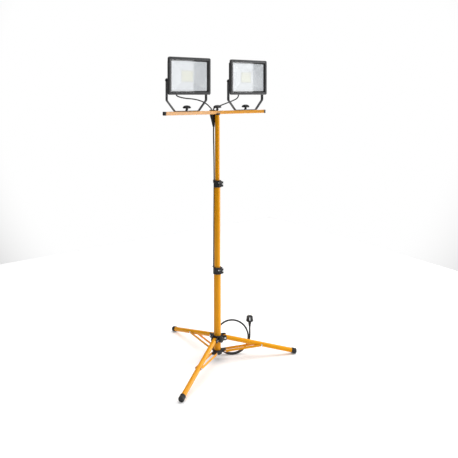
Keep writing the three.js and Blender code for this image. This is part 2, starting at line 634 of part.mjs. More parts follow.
const leadBottom = 78;
add(
  "cord_plug_lead",
  cable(
    [
      coilPoint(PLUG_LEAD_R - 1, leadBottom),
      coilPoint(PLUG_LEAD_R, leadBottom + 25),
      coilPoint(PLUG_LEAD_R, leadBottom + 50),
      [...coilPoint(PLUG_LEAD_R, PLUG_Z).slice(0, 2), PLUG_Z - 8],
      [...coilPoint(PLUG_LEAD_R, PLUG_Z).slice(0, 2), PLUG_Z - CLEARANCE],
    ],
    CORD_R,
    6,
  ),
  rubber(),
);
const plugBody = rodZ(5.2, 0, 14, 0, 0, 12, 6.5)
  .add(rodZ(6.5, 13.5, 20, 0, 0, 12, 8.5))
  .add(rodZ(8.5, 19.5, 36, 0, 0, 12, 9.5))
  .add(rodZ(21, 36, 44, 0, 0, 20))
  .add(rodZ(18.5, 43.5, 63, 0, 0, 20))
  .add(rodZ(2.4, 62, 82, -9.5, 0, 10))
  .add(rodZ(2.4, 62, 82, 9.5, 0, 10));
const plugGeometry = geometryOf(plugBody);
plugGeometry.rotateZ(-36 * deg);
plugGeometry.translate(...coilPoint(PLUG_LEAD_R, PLUG_Z));
add("mains_plug", plugGeometry, rubber());

// ---- lamp heads ----
for (const [name, side] of [["left", -1], ["right", 1]]) {
  const cx = side * LAMP_OFFSET;
  const toWorld = new THREE.Matrix4().makeTranslation(cx, 0, PIVOT_Z);

  // Flat strap yoke.
  const zb = BAR_TOP + CLEARANCE - PIVOT_Z;
  const bend = YOKE_BEND_Z - PIVOT_Z;
  const top = YOKE_WIDTH / 2;
  const wide = YOKE_ARM_X + 25.5;
  const half = YOKE_THICK / 2;
  const inset = YOKE_THICK * 0.45;
  const outline = [
    [YOKE_BASE_HALF, zb],
    [YOKE_ARM_X + half, bend - inset],
    [YOKE_ARM_X + half, top],
    [YOKE_ARM_X - half, top],
    [YOKE_ARM_X - half, bend + inset],
    [YOKE_BASE_HALF - inset * 1.2, zb + YOKE_THICK],
  ];
  const strap = new THREE.Shape();
  outline.forEach(([x, z], i) => (i ? strap.lineTo(x, z) : strap.moveTo(x, z)));
  [...outline].reverse().forEach(([x, z]) => strap.lineTo(-x, z));
  const strapGeometry = new THREE.ExtrudeGeometry(strap, { depth: YOKE_WIDTH, bevelEnabled: false });
  strapGeometry.rotateX(Math.PI / 2);
  strapGeometry.translate(0, YOKE_WIDTH / 2, 0);
  const yokeKeep = block(-wide, wide, -YOKE_WIDTH, YOKE_WIDTH, zb - 1, 0).add(rodX(top, -wide, wide, 0, 0, 20));
  const yoke = solid(strapGeometry)
    .intersect(yokeKeep)
    .subtract(rodX(PIVOT_STUD_R + CLEARANCE, -wide, wide, 0, 0, 14))
    .subtract(rodZ(STUD_R + CLEARANCE, zb - 1, zb + YOKE_THICK + 1, 0, 0, 12));
  add(name + "_yoke", yoke, anthracite(), toWorld);

  const yokeKnob = geometryOf(knob(KNOB_R, 17, 6, 12, STUD_R, 18));
  yokeKnob.translate(cx, 0, BAR_TOP + 2 * CLEARANCE + YOKE_THICK);
  add(name + "_yoke_knob", yokeKnob, black());

  // Front bezel with a lip over the glass.
  const bezelBack = LAMP_FRONT + BEZEL_DEPTH;
  const bezel = plateY(LAMP_W, LAMP_H, 9, LAMP_FRONT, bezelBack, LAMP_MID)
    .subtract(
      plateY(LAMP_W - 2 * BEZEL_FRAME, LAMP_H - 2 * BEZEL_FRAME, 3, LAMP_FRONT - 1, bezelBack, LAMP_MID),
    )
    .subtract(
      plateY(
        LAMP_W - 2 * POCKET_FRAME,
        LAMP_H - 2 * POCKET_FRAME,
        4,
        LAMP_FRONT + BEZEL_LIP,
        bezelBack + 1,
        LAMP_MID,
      ),
    );
  add(name + "_bezel", bezel, anthracite(), toWorld);

  const pocketW = LAMP_W - 2 * POCKET_FRAME - 2 * CLEARANCE;
  const pocketH = LAMP_H - 2 * POCKET_FRAME - 2 * CLEARANCE;
  const glassFront = LAMP_FRONT + BEZEL_LIP + CLEARANCE;
  const glassBack = glassFront + GLASS_THICK;
  add(name + "_glass", plateY(pocketW, pocketH, 4, glassFront, glassBack, LAMP_MID), clear(), toWorld);

  // Die-cast housing with cooling fins, pivot bosses and a cable boss.
  const rim = glassBack + CLEARANCE;
  const cavityBack = HOUSING_BACK - HEAT_WALL;
  const cavityW = HOUSING_W - 12;
  const cavityH = HOUSING_H - 12;
  let housing = plateY(pocketW, pocketH, 4, rim, rim + 9, LAMP_MID).add(
    plateY(HOUSING_W, HOUSING_H, 8, rim + 8, HOUSING_BACK, LAMP_MID),
  );
  for (let i = 0; i < FIN_COUNT; i++) {
    const x = ((i - (FIN_COUNT - 1) / 2) * (HOUSING_W - 30)) / (FIN_COUNT - 1);
    housing = housing.add(
      block(
        x - 1.5,
        x + 1.5,
        HOUSING_BACK - 1,
        HOUSING_BACK + FIN_DEPTH,
        LAMP_MID - HOUSING_H / 2 + 55,
        LAMP_MID + HOUSING_H / 2 - 9,
      ),
    );
  }
  housing = housing.add(block(GLAND_X - 13, GLAND_X + 13, HOUSING_BACK - 1, GLAND_Y + 10, BOSS_Z, BOSS_Z + 22));
  for (const s of [-1, 1]) {
    const x0 = s > 0 ? HOUSING_W / 2 - 2 : -YOKE_ARM_X + half + CLEARANCE;
    const x1 = s > 0 ? YOKE_ARM_X - half - CLEARANCE : -HOUSING_W / 2 + 2;
    housing = housing.add(rodX(PIVOT_BOSS_R, x0, x1, 0, 0, 16));
  }
  housing = housing.subtract(plateY(cavityW, cavityH, 3, rim - 1, cavityBack, LAMP_MID));
  for (const s of [-1, 1]) {
    const x0 = s > 0 ? HOUSING_W / 2 - 4.5 : -YOKE_ARM_X;
    const x1 = s > 0 ? YOKE_ARM_X : -HOUSING_W / 2 + 4.5;
    housing = housing.subtract(rodX(PIVOT_STUD_R + CLEARANCE, x0, x1, 0, 0, 14));
  }
  add(name + "_housing", housing, anthracite(), toWorld);

  // Faceted reflector tray around the light board.
  const trayFront = rim + 0.5;
  const boardFront = cavityBack - 2.4;
  const trayBack = boardFront - CLEARANCE;
  const frustum = (w0, h0, y0, w1, h1, y1) => {
    const points = [];
    for (const sx of [-1, 1]) {
      for (const sz of [-1, 1]) {
        points.push([(sx * w0) / 2, y0, LAMP_MID + (sz * h0) / 2]);
        points.push([(sx * w1) / 2, y1, LAMP_MID + (sz * h1) / 2]);
      }
    }
    return hull(points);
  };
  const tray = frustum(cavityW - 3, cavityH - 3, trayFront, LED_W + 4, LED_H + 4, trayBack).subtract(
    frustum(cavityW - 7, cavityH - 7, trayFront - 0.05, LED_W - 2, LED_H - 2, trayBack + 0.05),
  );
  add(name + "_reflector", tray, white(), toWorld);
  add(
    name + "_led_board",
    plateY(LED_W + 6, LED_H + 6, 2, boardFront, cavityBack - CLEARANCE, LAMP_MID),
    led(),
    toWorld,
  );

  // Pivot screws through the yoke arms into the housing bosses.
  for (const [boltName, s] of [["left", -1], ["right", 1]]) {
    const armOuter = YOKE_ARM_X + half;
    const bolt = rodX(PIVOT_STUD_R, HOUSING_W / 2 - 4, armOuter + 1, 0, 0, 12).add(
      rodX(2 * PIVOT_STUD_R, armOuter + CLEARANCE, armOuter + 6, 0, 0, 12),
    );
    const g = geometryOf(bolt);
    if (s < 0) g.rotateZ(Math.PI);
    add(name + "_pivot_" + boltName, g, steel(), toWorld);
  }

  // Cable gland below the cable boss.
  const gland = rodZ(8, BOSS_Z - 12, BOSS_Z - CLEARANCE, GLAND_X, GLAND_Y, 12)
    .add(rodZ(LEAD_R + 2, BOSS_Z - 20, BOSS_Z - 11, GLAND_X, GLAND_Y, 12, LEAD_R + 4))
    .subtract(rodZ(LEAD_R + 0.6, BOSS_Z - 22, BOSS_Z - 6, GLAND_X, GLAND_Y, 12));
  add(name + "_gland", gland, black(), toWorld);
}

// ---- lamp leads from the glands to the junction ----
// Each lead leaves its gland downwards, then its points are given as a share of the way across to the junction,
// with y, and the height above the crossbar.
const leadTop = PIVOT_Z + BOSS_Z - 8;
function leadRoute(glandX, loop, endX, across, end) {
  const points = [
    [glandX, GLAND_Y, leadTop],
    [glandX, GLAND_Y, leadTop - 10],
    [glandX, GLAND_Y, leadTop - 16],
  ];
  for (const [dx, y, dz] of loop) points.push([glandX + dx, y, leadTop - dz]);
  for (const [t, y, dz] of across) points.push([glandX + t * (endX - glandX), y, BAR_TOP + dz]);
  for (const [dx, y, dz] of end) points.push([endX + dx, y, JUNCTION_TOP + dz]);
  return points;
}
add(
  "left_lamp_lead",
  cable(
    leadRoute(
      -LAMP_OFFSET + GLAND_X,
      [
        [-9, 20, 26],
        [-6, 21, 37],
        [16, 22, 45],
      ],
      JUNCTION_LEFT + 7,
      [
        [0.2217, 23, 71],
        [0.4037, 23, 67.5],
        [0.5722, 24, 62],
        [0.7497, 25, 50.5],
        [0.8817, 25, 35],
        [0.9772, 24, 16],
      ],
      [
        [0, JUNCTION_FRONT + 7.7, 6],
        [0, JUNCTION_FRONT + 7.7, CLEARANCE],
      ],
    ),
    LEAD_R,
    30,
  ),
  rubber(),
);
add(
  "right_lamp_lead",
  cable(
    leadRoute(
      LAMP_OFFSET + GLAND_X,
      [
        [8, 21, 28],
        [9, 22, 40],
        [-2, 23, 54],
      ],
      JUNCTION_RIGHT - 12,
      [
        [0.1732, 25, 56],
        [0.3301, 27, 47],
        [0.5715, KNOB_R + 6, 34],
        [0.7707, KNOB_R + 8, 23],
        [0.9155, KNOB_R + 6, 16],
      ],
      [
        [1, JUNCTION_FRONT + 10.2, 5],
        [0, JUNCTION_FRONT + 9.2, 2.5],
        [0, JUNCTION_FRONT + 9.2, CLEARANCE],
      ],
    ),
    LEAD_R,
    26,
  ),
  rubber(),
);

export default group;
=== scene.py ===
"""Twin-head work light on a telescopic tripod mast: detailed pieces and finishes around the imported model."""
import math

import bmesh
import bpy
from bpy.props import FloatProperty, FloatVectorProperty, IntProperty, PointerProperty
from mathutils import Matrix, Vector


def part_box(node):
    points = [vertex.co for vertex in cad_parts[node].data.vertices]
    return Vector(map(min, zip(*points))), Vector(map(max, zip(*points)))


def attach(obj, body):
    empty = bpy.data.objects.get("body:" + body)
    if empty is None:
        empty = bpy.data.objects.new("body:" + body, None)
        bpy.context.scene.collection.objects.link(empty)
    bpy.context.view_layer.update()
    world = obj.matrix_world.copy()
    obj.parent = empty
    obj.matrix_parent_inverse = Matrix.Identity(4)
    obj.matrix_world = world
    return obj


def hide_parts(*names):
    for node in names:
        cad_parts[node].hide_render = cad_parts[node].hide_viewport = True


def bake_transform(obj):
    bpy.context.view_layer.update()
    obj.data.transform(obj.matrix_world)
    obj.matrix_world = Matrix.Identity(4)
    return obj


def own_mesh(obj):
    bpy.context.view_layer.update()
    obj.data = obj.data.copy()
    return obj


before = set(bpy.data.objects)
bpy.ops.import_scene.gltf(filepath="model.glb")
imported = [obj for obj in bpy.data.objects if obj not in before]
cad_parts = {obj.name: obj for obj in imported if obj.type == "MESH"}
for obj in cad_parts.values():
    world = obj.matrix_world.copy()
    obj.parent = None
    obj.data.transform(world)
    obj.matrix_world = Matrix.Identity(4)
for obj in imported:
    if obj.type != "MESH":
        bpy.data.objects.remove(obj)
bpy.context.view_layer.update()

bl_info = {
    "name": "Twin-head work light",
    "version": (1, 0, 0),
    "blender": (4, 5, 0),
    "location": "3D View > Sidebar > Work light",
    "description": "Builds the work light's detailed pieces, finishes and studio around its packed model",
    "category": "Object",
}

MM = 0.001
RIGHT, REAR, FRONT = "right", "rear", "front"
LEG_ANGLES = {RIGHT: -27.0, REAR: 93.0, FRONT: 213.0}
LAMPS = {"left": -1, "right": 1}


def span(*nodes):
    """Lowest and highest corner, in millimetres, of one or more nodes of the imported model."""
    boxes = [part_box(node) for node in nodes]
    low = [min(box[0][k] for box in boxes) / MM for k in range(3)]
    high = [max(box[1][k] for box in boxes) / MM for k in range(3)]
    return low, high


def middle(node, axis):
    low, high = span(node)
    return (low[axis] + high[axis]) / 2


def half_width(node):
    low, high = span(node)
    return (high[0] - low[0]) / 2


# ---- sizes in millimetres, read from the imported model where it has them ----
LOWER_R = half_width("mast_lower_tube")
MIDDLE_R = half_width("mast_middle_tube")
UPPER_R = half_width("mast_upper_tube")
TUBE_WALL = 1.5
COLLAR_WALL = 4.2
LEG_R = 12.5
LEG_LENGTH = 430.0
LEG_PIVOT_R = LOWER_R + 8 + 2.5 + LEG_R
LEG_PIVOT_Z = middle("rear_leg_bolt", 2)
BRACE_PIVOT_Z = 50.0
BRACE_JOINT = 216.8
BRACE_WIDTH = 13.0
BRACE_THICK = 2.5
EAR_GAP = LEG_R + 0.8
EAR_THICK = 3.0
FOOT_R = 15.0
FOOT_LENGTH = 28.0
FOOT_CHAMFER = 2.5
BAR_TIP = span("right_bar_cap")[1][0]
BAR_SIZE = 20.0
BAR_MID = middle("crossbar", 2)
BAR_TOP = BAR_MID + BAR_SIZE / 2
LAMP_X = middle("right_bezel", 0)
PIVOT_Z = middle("left_pivot_left", 2)
BEZEL_LOW, BEZEL_HIGH = span("right_bezel")
LAMP_W = BEZEL_HIGH[0] - BEZEL_LOW[0]
LAMP_H = BEZEL_HIGH[2] - BEZEL_LOW[2]
LAMP_MID = (BEZEL_HIGH[2] + BEZEL_LOW[2]) / 2
LAMP_FRONT = BEZEL_LOW[1]
BEZEL_BACK = BEZEL_HIGH[1]
HOUSING_INSET = 14.0
HOUSING_W = LAMP_W - 2 * HOUSING_INSET
HOUSING_H = LAMP_H - 2 * HOUSING_INSET
HOUSING_BACK = 8.0
HOUSING_FOOT = LAMP_MID - HOUSING_H / 2
POCKET_W, POCKET_H = LAMP_W - 20.6, LAMP_H - 20.6
CAVITY_W, CAVITY_H = HOUSING_W - 12, HOUSING_H - 12
CAVITY_BACK = HOUSING_BACK - 11.3
BOARD_FRONT = CAVITY_BACK - 2.4
LED_W, LED_H = 76.0, 62.0
GLASS_FRONT, GLASS_BACK = span("right_glass")[0][1], span("right_glass")[1][1]
RIM = GLASS_BACK + 0.3
GLAND_DX = -45.0
GLAND_Y = 19.0
YOKE_ARM = 124.5
YOKE_BASE = 76.2
YOKE_BEND_Z = 1468.0
YOKE_WIDTH = 22.0
YOKE_THICK = 3.0
JUNCTION_LOW, JUNCTION_HIGH = span("cable_junction")
LOWER_COLLAR_Z = span("lower_collar_lever")[0][2] - 5
UPPER_COLLAR_Z = span("upper_collar_lever")[0][2] - 5
LOWER_COLLAR_H = 37.0
UPPER_COLLAR_H = 39.0
MAST_CABLE_R = 3.75
LEAD_R = 3.5
GUIDE_ANGLE = 102.0
EXIT_ANGLE = 35.0
CORD_R = 4.8
EXIT_R = LOWER_R + COLLAR_WALL + CORD_R + 5.3
EXIT_Z = LOWER_COLLAR_Z + 1
UPPER_GUIDE = (MIDDLE_R + COLLAR_WALL + 4, UPPER_COLLAR_Z + UPPER_COLLAR_H - 8)
LOWER_GUIDE = (LOWER_R + COLLAR_WALL + 4.6, LOWER_COLLAR_Z + LOWER_COLLAR_H - 4)

LEG_DROP = math.degrees(
    math.asin(LEG_PIVOT_Z / math.hypot(LEG_LENGTH - FOOT_CHAMFER, FOOT_R))
    - math.atan(FOOT_R / (LEG_LENGTH - FOOT_CHAMFER))
)
JOINT_R = LEG_PIVOT_R + BRACE_JOINT * math.cos(math.radians(LEG_DROP))
JOINT_Z = LEG_PIVOT_Z - BRACE_JOINT * math.sin(math.radians(LEG_DROP))
BRACE_LENGTH = math.hypot(JOINT_R - LEG_PIVOT_R, JOINT_Z - BRACE_PIVOT_Z)
BRACE_RISE = math.degrees(math.atan2(JOINT_Z - BRACE_PIVOT_Z, JOINT_R - LEG_PIVOT_R))


# ---- sizes and colours that a user would change ----
class WorkLightSizes(bpy.types.PropertyGroup):
    cord_diameter: FloatProperty(
        name="Cord diameter", description="Outside diameter of the mains cord", default=0.0096, min=0.004,
        unit="LENGTH",
    )
    cord_strand_gap: FloatProperty(
        name="Strand gap", description="Gap between the two strands of the coil", default=0.0004, min=0.0,
        unit="LENGTH",
    )
    knob_lobes: IntProperty(
        name="Knob lobes", description="Number of lobes on each clamp knob", default=6, min=3, max=12
    )
    fin_count: IntProperty(
        name="Cooling fins", description="Number of fins on the back of each lamp", default=9, min=3, max=15
    )
    led_columns: IntProperty(
        name="Light columns", description="Columns of emitters on each light board", default=7, min=1,
        max=20,
    )
    led_rows: IntProperty(
        name="Light rows", description="Rows of emitters on each light board", default=5, min=1, max=20
    )
    floor_size: FloatProperty(
        name="Floor size", description="Width of the studio floor", default=5.0, min=4.0, unit="LENGTH"
    )


def colour_property(name, description, default):
    return FloatVectorProperty(
        name=name, description=description, default=default, size=3, min=0.0, max=1.0, subtype="COLOR"
    )


class WorkLightColours(bpy.types.PropertyGroup):
    tube: colour_property("Tubes", "Amber powder coat on the tubes", (0.79, 0.322, 0.0006))
    lamp: colour_property("Lamps", "Anthracite powder coat on the lamp castings", (0.056, 0.0565, 0.059))
    strap: colour_property("Brackets", "Grey powder coat on the strap brackets", (0.105, 0.107, 0.112))
    plastic: colour_property(
        "Plastic", "Moulded nylon of the hubs, collars and knobs", (0.0100, 0.0102, 0.0110)
    )
    rubber: colour_property("Rubber", "Foot caps and cable sheath", (0.0080, 0.0082, 0.0088))
    steel: colour_property("Steel", "Zinc plated bolts and rivets", (0.58, 0.59, 0.61))
    reflector: colour_property("Reflector", "Satin reflector trays", (0.88, 0.90, 0.93))
    phosphor: colour_property("Emitters", "Pale yellow emitters on the light boards", (0.93, 0.93, 0.80))
    floor: colour_property("Floor", "Studio floor", (0.93, 0.93, 0.93))


# ---- shader nodes as expressions ----
class Value:
    """A node's output socket that can be used in arithmetic."""

    def __init__(self, graph, socket):
        self.graph, self.socket = graph, socket

    def maths(self, operation, *values):
        return self.graph.node("ShaderNodeMath", {"operation": operation}, dict(enumerate(values)))

    def __add__(self, other):
        return self.maths("ADD", self, other)

    def __radd__(self, other):
        return self.maths("ADD", other, self)

    def __sub__(self, other):
        return self.maths("SUBTRACT", self, other)

    def __rsub__(self, other):
        return self.maths("SUBTRACT", other, self)

    def __mul__(self, other):
        return self.maths("MULTIPLY", self, other)


class Graph:
    """The node tree of one material or of the world."""

    def __init__(self, owner):
        owner.use_nodes = True
        self.tree = owner.node_tree
        self.tree.nodes.clear()

    def node(self, kind, settings=None, inputs=None, output=0):
        made = self.tree.nodes.new(kind)
        for key, value in (settings or {}).items():
            if key == "stops":
                ramp = made.color_ramp
                while len(ramp.elements) < len(value):
                    ramp.elements.new(0.5)
                for element, (place, shade) in zip(ramp.elements, value):
                    element.position, element.color = place, (shade, shade, shade, 1.0)
            else:
                setattr(made, key, value)
        for key, value in (inputs or {}).items():
            if isinstance(value, Value):
                self.tree.links.new(value.socket, made.inputs[key])
            else:
                made.inputs[key].default_value = value
        return Value(self, made.outputs[output])

    def place(self):
        return self.node("ShaderNodeTexCoord", output="Object")

    def axis(self, name):
        return self.node("ShaderNodeSeparateXYZ", inputs={0: self.place()}, output=name)

    def stretched(self, x, y, z):
        return self.node("ShaderNodeMapping", inputs={"Vector": self.place(), "Scale": (x, y, z)})

    def noise(self, scale, detail=2.0, roughness=0.5, vector=None):
        return self.node(
            "ShaderNodeTexNoise",
            inputs={
                "Vector": vector or self.place(), "Scale": scale, "Detail": detail, "Roughness": roughness
            },
        )

    def ramp(self, value, low, high, start=0.0, end=1.0):
        return self.node(
            "ShaderNodeMapRange",
            {"interpolation_type": "SMOOTHSTEP"},
            {"Value": value, "From Min": low, "From Max": high, "To Min": start, "To Max": end},
        )

    def mix(self, factor, first, second, blend="MIX"):
        return self.node(
            "ShaderNodeMix",
            {"data_type": "RGBA", "blend_type": blend},
            {0: factor, 6: opaque(first), 7: opaque(second)},
            output=2,
        )

    def bump(self, height, strength, distance, normal=None):
        inputs = {"Height": height, "Strength": strength, "Distance": distance}
        if normal:
            inputs["Normal"] = normal
        return self.node("ShaderNodeBump", inputs=inputs)

    def end(self, kind, shader):
        """Links a shader to the tree's output node."""
        made = self.tree.nodes.new(kind)
        self.tree.links.new(shader.socket, made.inputs["Surface"])


def opaque(colour):
    if isinstance(colour, Value):
        return colour
    return (*colour[:3], 1.0)


def scaled(colour, amount):
    return tuple(min(1.0, c * amount) for c in colour)


def blended(first, second, share):
    return tuple(a + (b - a) * share for a, b in zip(first, second))


MADE_FINISHES = {}


def finish(name):
    """The named finish, made the first time that it is asked for."""
    if name not in MADE_FINISHES:
        material = bpy.data.materials.new(name)
        graph = Graph(material)
        shader = FINISHES[name](graph, bpy.context.scene.worklight_colours)
        graph.end("ShaderNodeOutputMaterial", shader)
        MADE_FINISHES[name] = material
    return MADE_FINISHES[name]


def principled(graph, **inputs):
    named = {key.replace("_", " ").title().replace("Ior", "IOR"): value for key, value in inputs.items()}
    if "Base Color" in named:
        named["Base Color"] = opaque(named["Base Color"])
    return graph.node("ShaderNodeBsdfPrincipled", {"distribution": "MULTI_GGX"}, named)


def powder_coat(graph, colour, orange_peel, gloss, grime, shine, coat, coat_ior):
    """Sprayed and baked paint: a fine orange-peel surface, faint drift in its colour, and hairline scuffs."""
    drift = graph.ramp(graph.noise(9.0, 3.0), 0.3, 0.7)
    grain = graph.noise(orange_peel, 3.0, 0.55)
    scuffs = graph.ramp(graph.noise(60.0, 6.0, 0.75, graph.stretched(9.0, 9.0, 0.6)), 0.66, 0.78)
    flecks = graph.ramp(graph.noise(1900.0, 1.0), 0.60, 0.74)
    base = graph.mix(drift, scaled(colour, 0.95), scaled(colour, 1.05))
    base = graph.mix(scuffs * 0.18, base, blended(colour, (0.5, 0.45, 0.4), 0.5))
    base = graph.mix(flecks * grime, base, scaled(colour, 0.6))
    rough = gloss + drift * 0.06 + grain * 0.08 + scuffs * 0.12
    hollow = graph.bump(graph.noise(orange_peel * 0.35, 2.0), 0.10, 0.0006)
    return principled(
        graph,
        base_color=base,
        roughness=rough,
        specular_ior_level=shine,
        coat_weight=coat,
        coat_ior=coat_ior,
        coat_roughness=0.12,
        normal=graph.bump(grain, 0.16, 0.00022, hollow),
    )


def tube_paint(graph, colours):
    return powder_coat(graph, colours.tube, 520.0, 0.26, 0.10, 0.18, 0.05, 1.5)


def bar_paint(graph, colours):
    return powder_coat(graph, colours.tube, 420.0, 0.18, 0.08, 0.60, 0.90, 2.2)


def casting_paint(graph, colours):
    """Textured coat on die-cast aluminium, a little paler where edges stand out."""
    colour = colours.lamp
    grain = graph.noise(1300.0, 4.0, 0.6)
    pits = graph.node("ShaderNodeTexVoronoi", {"feature": "F1"}, {"Vector": graph.place(), "Scale": 900.0})
    drift = graph.ramp(graph.noise(14.0, 2.0), 0.3, 0.7)
    edge = graph.ramp(graph.node("ShaderNodeNewGeometry", output="Pointiness"), 0.53, 0.60)
    base = graph.mix(drift, scaled(colour, 0.9), scaled(colour, 1.1))
    base = graph.mix(graph.ramp(grain, 0.45, 0.65) * 0.35, base, scaled(colour, 1.5))
    base = graph.mix(edge * 0.35, base, scaled(colour, 2.1))
    return principled(
        graph,
        base_color=base,
        metallic=0.15,
        roughness=0.40 + grain * 0.22,
        normal=graph.bump(grain, 0.30, 0.0003, graph.bump(pits, 0.12, 0.0003)),
    )


def strap_paint(graph, colours):
    colour = colours.strap
    grain = graph.noise(900.0, 3.0)
    scuffs = graph.ramp(graph.noise(45.0, 5.0, 0.7, graph.stretched(6.0, 1.0, 1.0)), 0.64, 0.76)
    edge = graph.ramp(graph.node("ShaderNodeNewGeometry", output="Pointiness"), 0.54, 0.62)
    base = graph.mix(graph.ramp(graph.noise(22.0, 2.0), 0.3, 0.7), scaled(colour, 0.92), scaled(colour, 1.12))
    base = graph.mix(scuffs * 0.3 + edge * 0.3, base, scaled(colour, 2.0))
    return principled(
        graph,
        base_color=base,
        metallic=0.2,
        roughness=0.34 + grain * 0.16,
        normal=graph.bump(grain, 0.22, 0.00025),
    )


def moulded_nylon(graph, colours):
    """Spark-eroded black nylon with a soft sheen, small polished spots where hands hold it, and a painted
    highlight along its edges.
    """
    colour = colours.plastic
    spark = graph.noise(1500.0, 4.0, 0.65)
    rubbed = graph.ramp(graph.noise(55.0, 3.0), 0.52, 0.70)
    # painted highlight: the nylon is made paler along its sharp edges, as if light caught them
    edge = graph.ramp(graph.node("ShaderNodeNewGeometry", output="Pointiness"), 0.53, 0.62)
    base = graph.mix(rubbed, colour, scaled(colour, 1.35))
    base = graph.mix(edge * 0.5, base, scaled(colour, 2.6))
    return principled(
        graph,
        base_color=base,
        roughness=0.46 + spark * 0.2 - rubbed * 0.12,
        normal=graph.bump(spark, 0.28, 0.00025),
    )


def foot_rubber(graph, colours):
    """Soft black rubber that picks up dust near the ground."""
    colour = colours.rubber
    grain = graph.noise(800.0, 3.0)
    dust = graph.ramp(graph.axis("Z"), 0.002, 0.018, 1.0, 0.0) * graph.ramp(graph.noise(160.0, 4.0), 0.4, 0.7)
    base = graph.mix(graph.ramp(graph.noise(70.0, 2.0), 0.35, 0.7), colour, scaled(colour, 1.5))
    base = graph.mix(dust * 0.30, base, (0.17, 0.16, 0.145))
    return principled(
        graph, base_color=base, roughness=0.52 + grain * 0.22 + dust * 0.15,
        normal=graph.bump(grain, 0.25, 0.0003),
    )


def cable_sheath(graph, colours):
    """Extruded rubber sheath with fine lines along it."""
    colour = colours.rubber
    streaks = graph.noise(700.0, 3.0, 0.6, graph.stretched(1.0, 1.0, 0.25))
    grain = graph.noise(1700.0, 2.0)
    base = graph.mix(graph.ramp(streaks, 0.4, 0.65), scaled(colour, 1.1), scaled(colour, 1.8))
    return principled(
        graph,
        base_color=base,
        roughness=0.42 + grain * 0.2,
        normal=graph.bump(streaks, 0.18, 0.0002, graph.bump(grain, 0.15, 0.0001)),
    )


def metal(graph, colour, rough, brush):
    lines = graph.noise(brush, 4.0, 0.7, graph.stretched(1.0, 4.0, 4.0))
    stain = graph.ramp(graph.noise(180.0, 3.0), 0.45, 0.75)
    base = graph.mix(stain * 0.6, colour, scaled(colour, 0.72))
    return principled(
        graph,
        base_color=base,
        metallic=1.0,
        roughness=rough + lines * 0.18 + stain * 0.08,
        normal=graph.bump(lines, 0.12, 0.0001),
    )


def zinc_steel(graph, colours):
    return metal(graph, colours.steel, 0.14, 900.0)


def black_steel(graph, colours):
    return metal(graph, (0.035, 0.036, 0.038), 0.26, 900.0)


def nickel_pin(graph, colours):
    return metal(graph, (0.72, 0.69, 0.62), 0.10, 1400.0)


def reflector_satin(graph, colours):
    """Vacuum-coated tray with a faint hammered pattern, brightened by a faint emission that is a painted glow.
    """
    colour = colours.reflector
    hammered = graph.node(
        "ShaderNodeTexVoronoi", {"feature": "SMOOTH_F1"}, {"Vector": graph.place(), "Scale": 150.0}
    )
    haze = graph.ramp(graph.noise(35.0, 3.0), 0.35, 0.7)
    base = graph.mix(haze, colour, scaled(colour, 0.94))
    return principled(
        graph,
        base_color=base,
        # painted glow: the tray emits light in its own colour so that it looks brighter, as if more light fell
        # on it
        emission_color=base,
        emission_strength=0.42,
        metallic=0.15,
        roughness=0.34 + haze * 0.08,
        normal=graph.bump(hammered, 0.05, 0.0004),
    )


def emitter_gel(graph, colours):
    """Phosphor gel over the emitters, a little deeper in colour in cloudy patches."""
    colour = colours.phosphor
    grain = graph.noise(900.0, 3.0)
    cloud = graph.ramp(graph.noise(120.0, 2.0), 0.35, 0.7)
    base = graph.mix(cloud, colour, scaled(colour, 0.95))
    base = graph.mix(graph.ramp(grain, 0.5, 0.7) * 0.25, base, blended(colour, (0.95, 0.85, 0.4), 0.5))
    return principled(
        graph,
        base_color=base,
        # painted glow: the gel emits light in its own colour at low strength, so the emitters look brighter,
        # as if more light fell on them
        emission_color=base,
        emission_strength=0.42,
        roughness=0.30 + grain * 0.15,
        normal=graph.bump(grain, 0.12, 0.0002),
    )


def board_white(graph, colours):
    grain = graph.noise(600.0, 3.0)
    return principled(
        graph,
        base_color=graph.mix(graph.ramp(grain, 0.4, 0.7), (0.80, 0.81, 0.80), (0.74, 0.75, 0.74)),
        roughness=0.35 + grain * 0.15,
        normal=graph.bump(grain, 0.1, 0.0001),
    )


def silicone_seal(graph, colours):
    grain = graph.noise(900.0, 2.0)
    return principled(
        graph,
        base_color=graph.mix(grain, (0.05, 0.05, 0.052), (0.075, 0.075, 0.078)),
        roughness=0.5 + grain * 0.2,
        normal=graph.bump(grain, 0.2, 0.0002),
    )


def lamp_glass(graph, colours):
    """Clear toughened sheet: mostly see-through, with a reflection that grows towards grazing angles."""
    smear = graph.ramp(graph.noise(26.0, 4.0, 0.6), 0.45, 0.75)
    waves = graph.bump(graph.noise(30.0, 1.0), 0.03, 0.0006)
    clear = graph.node("ShaderNodeBsdfTransparent", inputs={"Color": (0.985, 0.988, 0.987, 1.0)})
    mirror = principled(
        graph, base_color=(0.83, 0.84, 0.85), metallic=1.0, roughness=0.03 + smear * 0.05, normal=waves
    )
    edge = graph.node("ShaderNodeFresnel", inputs={"IOR": 1.52})
    return graph.node("ShaderNodeMixShader", inputs={0: 0.06 + edge * 0.9, 1: clear, 2: mirror})


def studio_floor(graph, colours):
    grain = graph.noise(40.0, 4.0)
    base = graph.mix(grain, scaled(colours.floor, 0.985), colours.floor)
    return principled(
        graph,
        base_color=base,
        emission_color=base,
        emission_strength=0.16,
        roughness=0.62 + grain * 0.1,
        specular_ior_level=0.2,
    )


FINISHES = {
    made.__name__: made
    for made in (
        tube_paint,
        bar_paint,
        casting_paint,
        strap_paint,
        moulded_nylon,
        foot_rubber,
        cable_sheath,
        zinc_steel,
        black_steel,
        nickel_pin,
        reflector_satin,
        emitter_gel,
        board_white,
        silicone_seal,
        lamp_glass,
        studio_floor,
    )
}


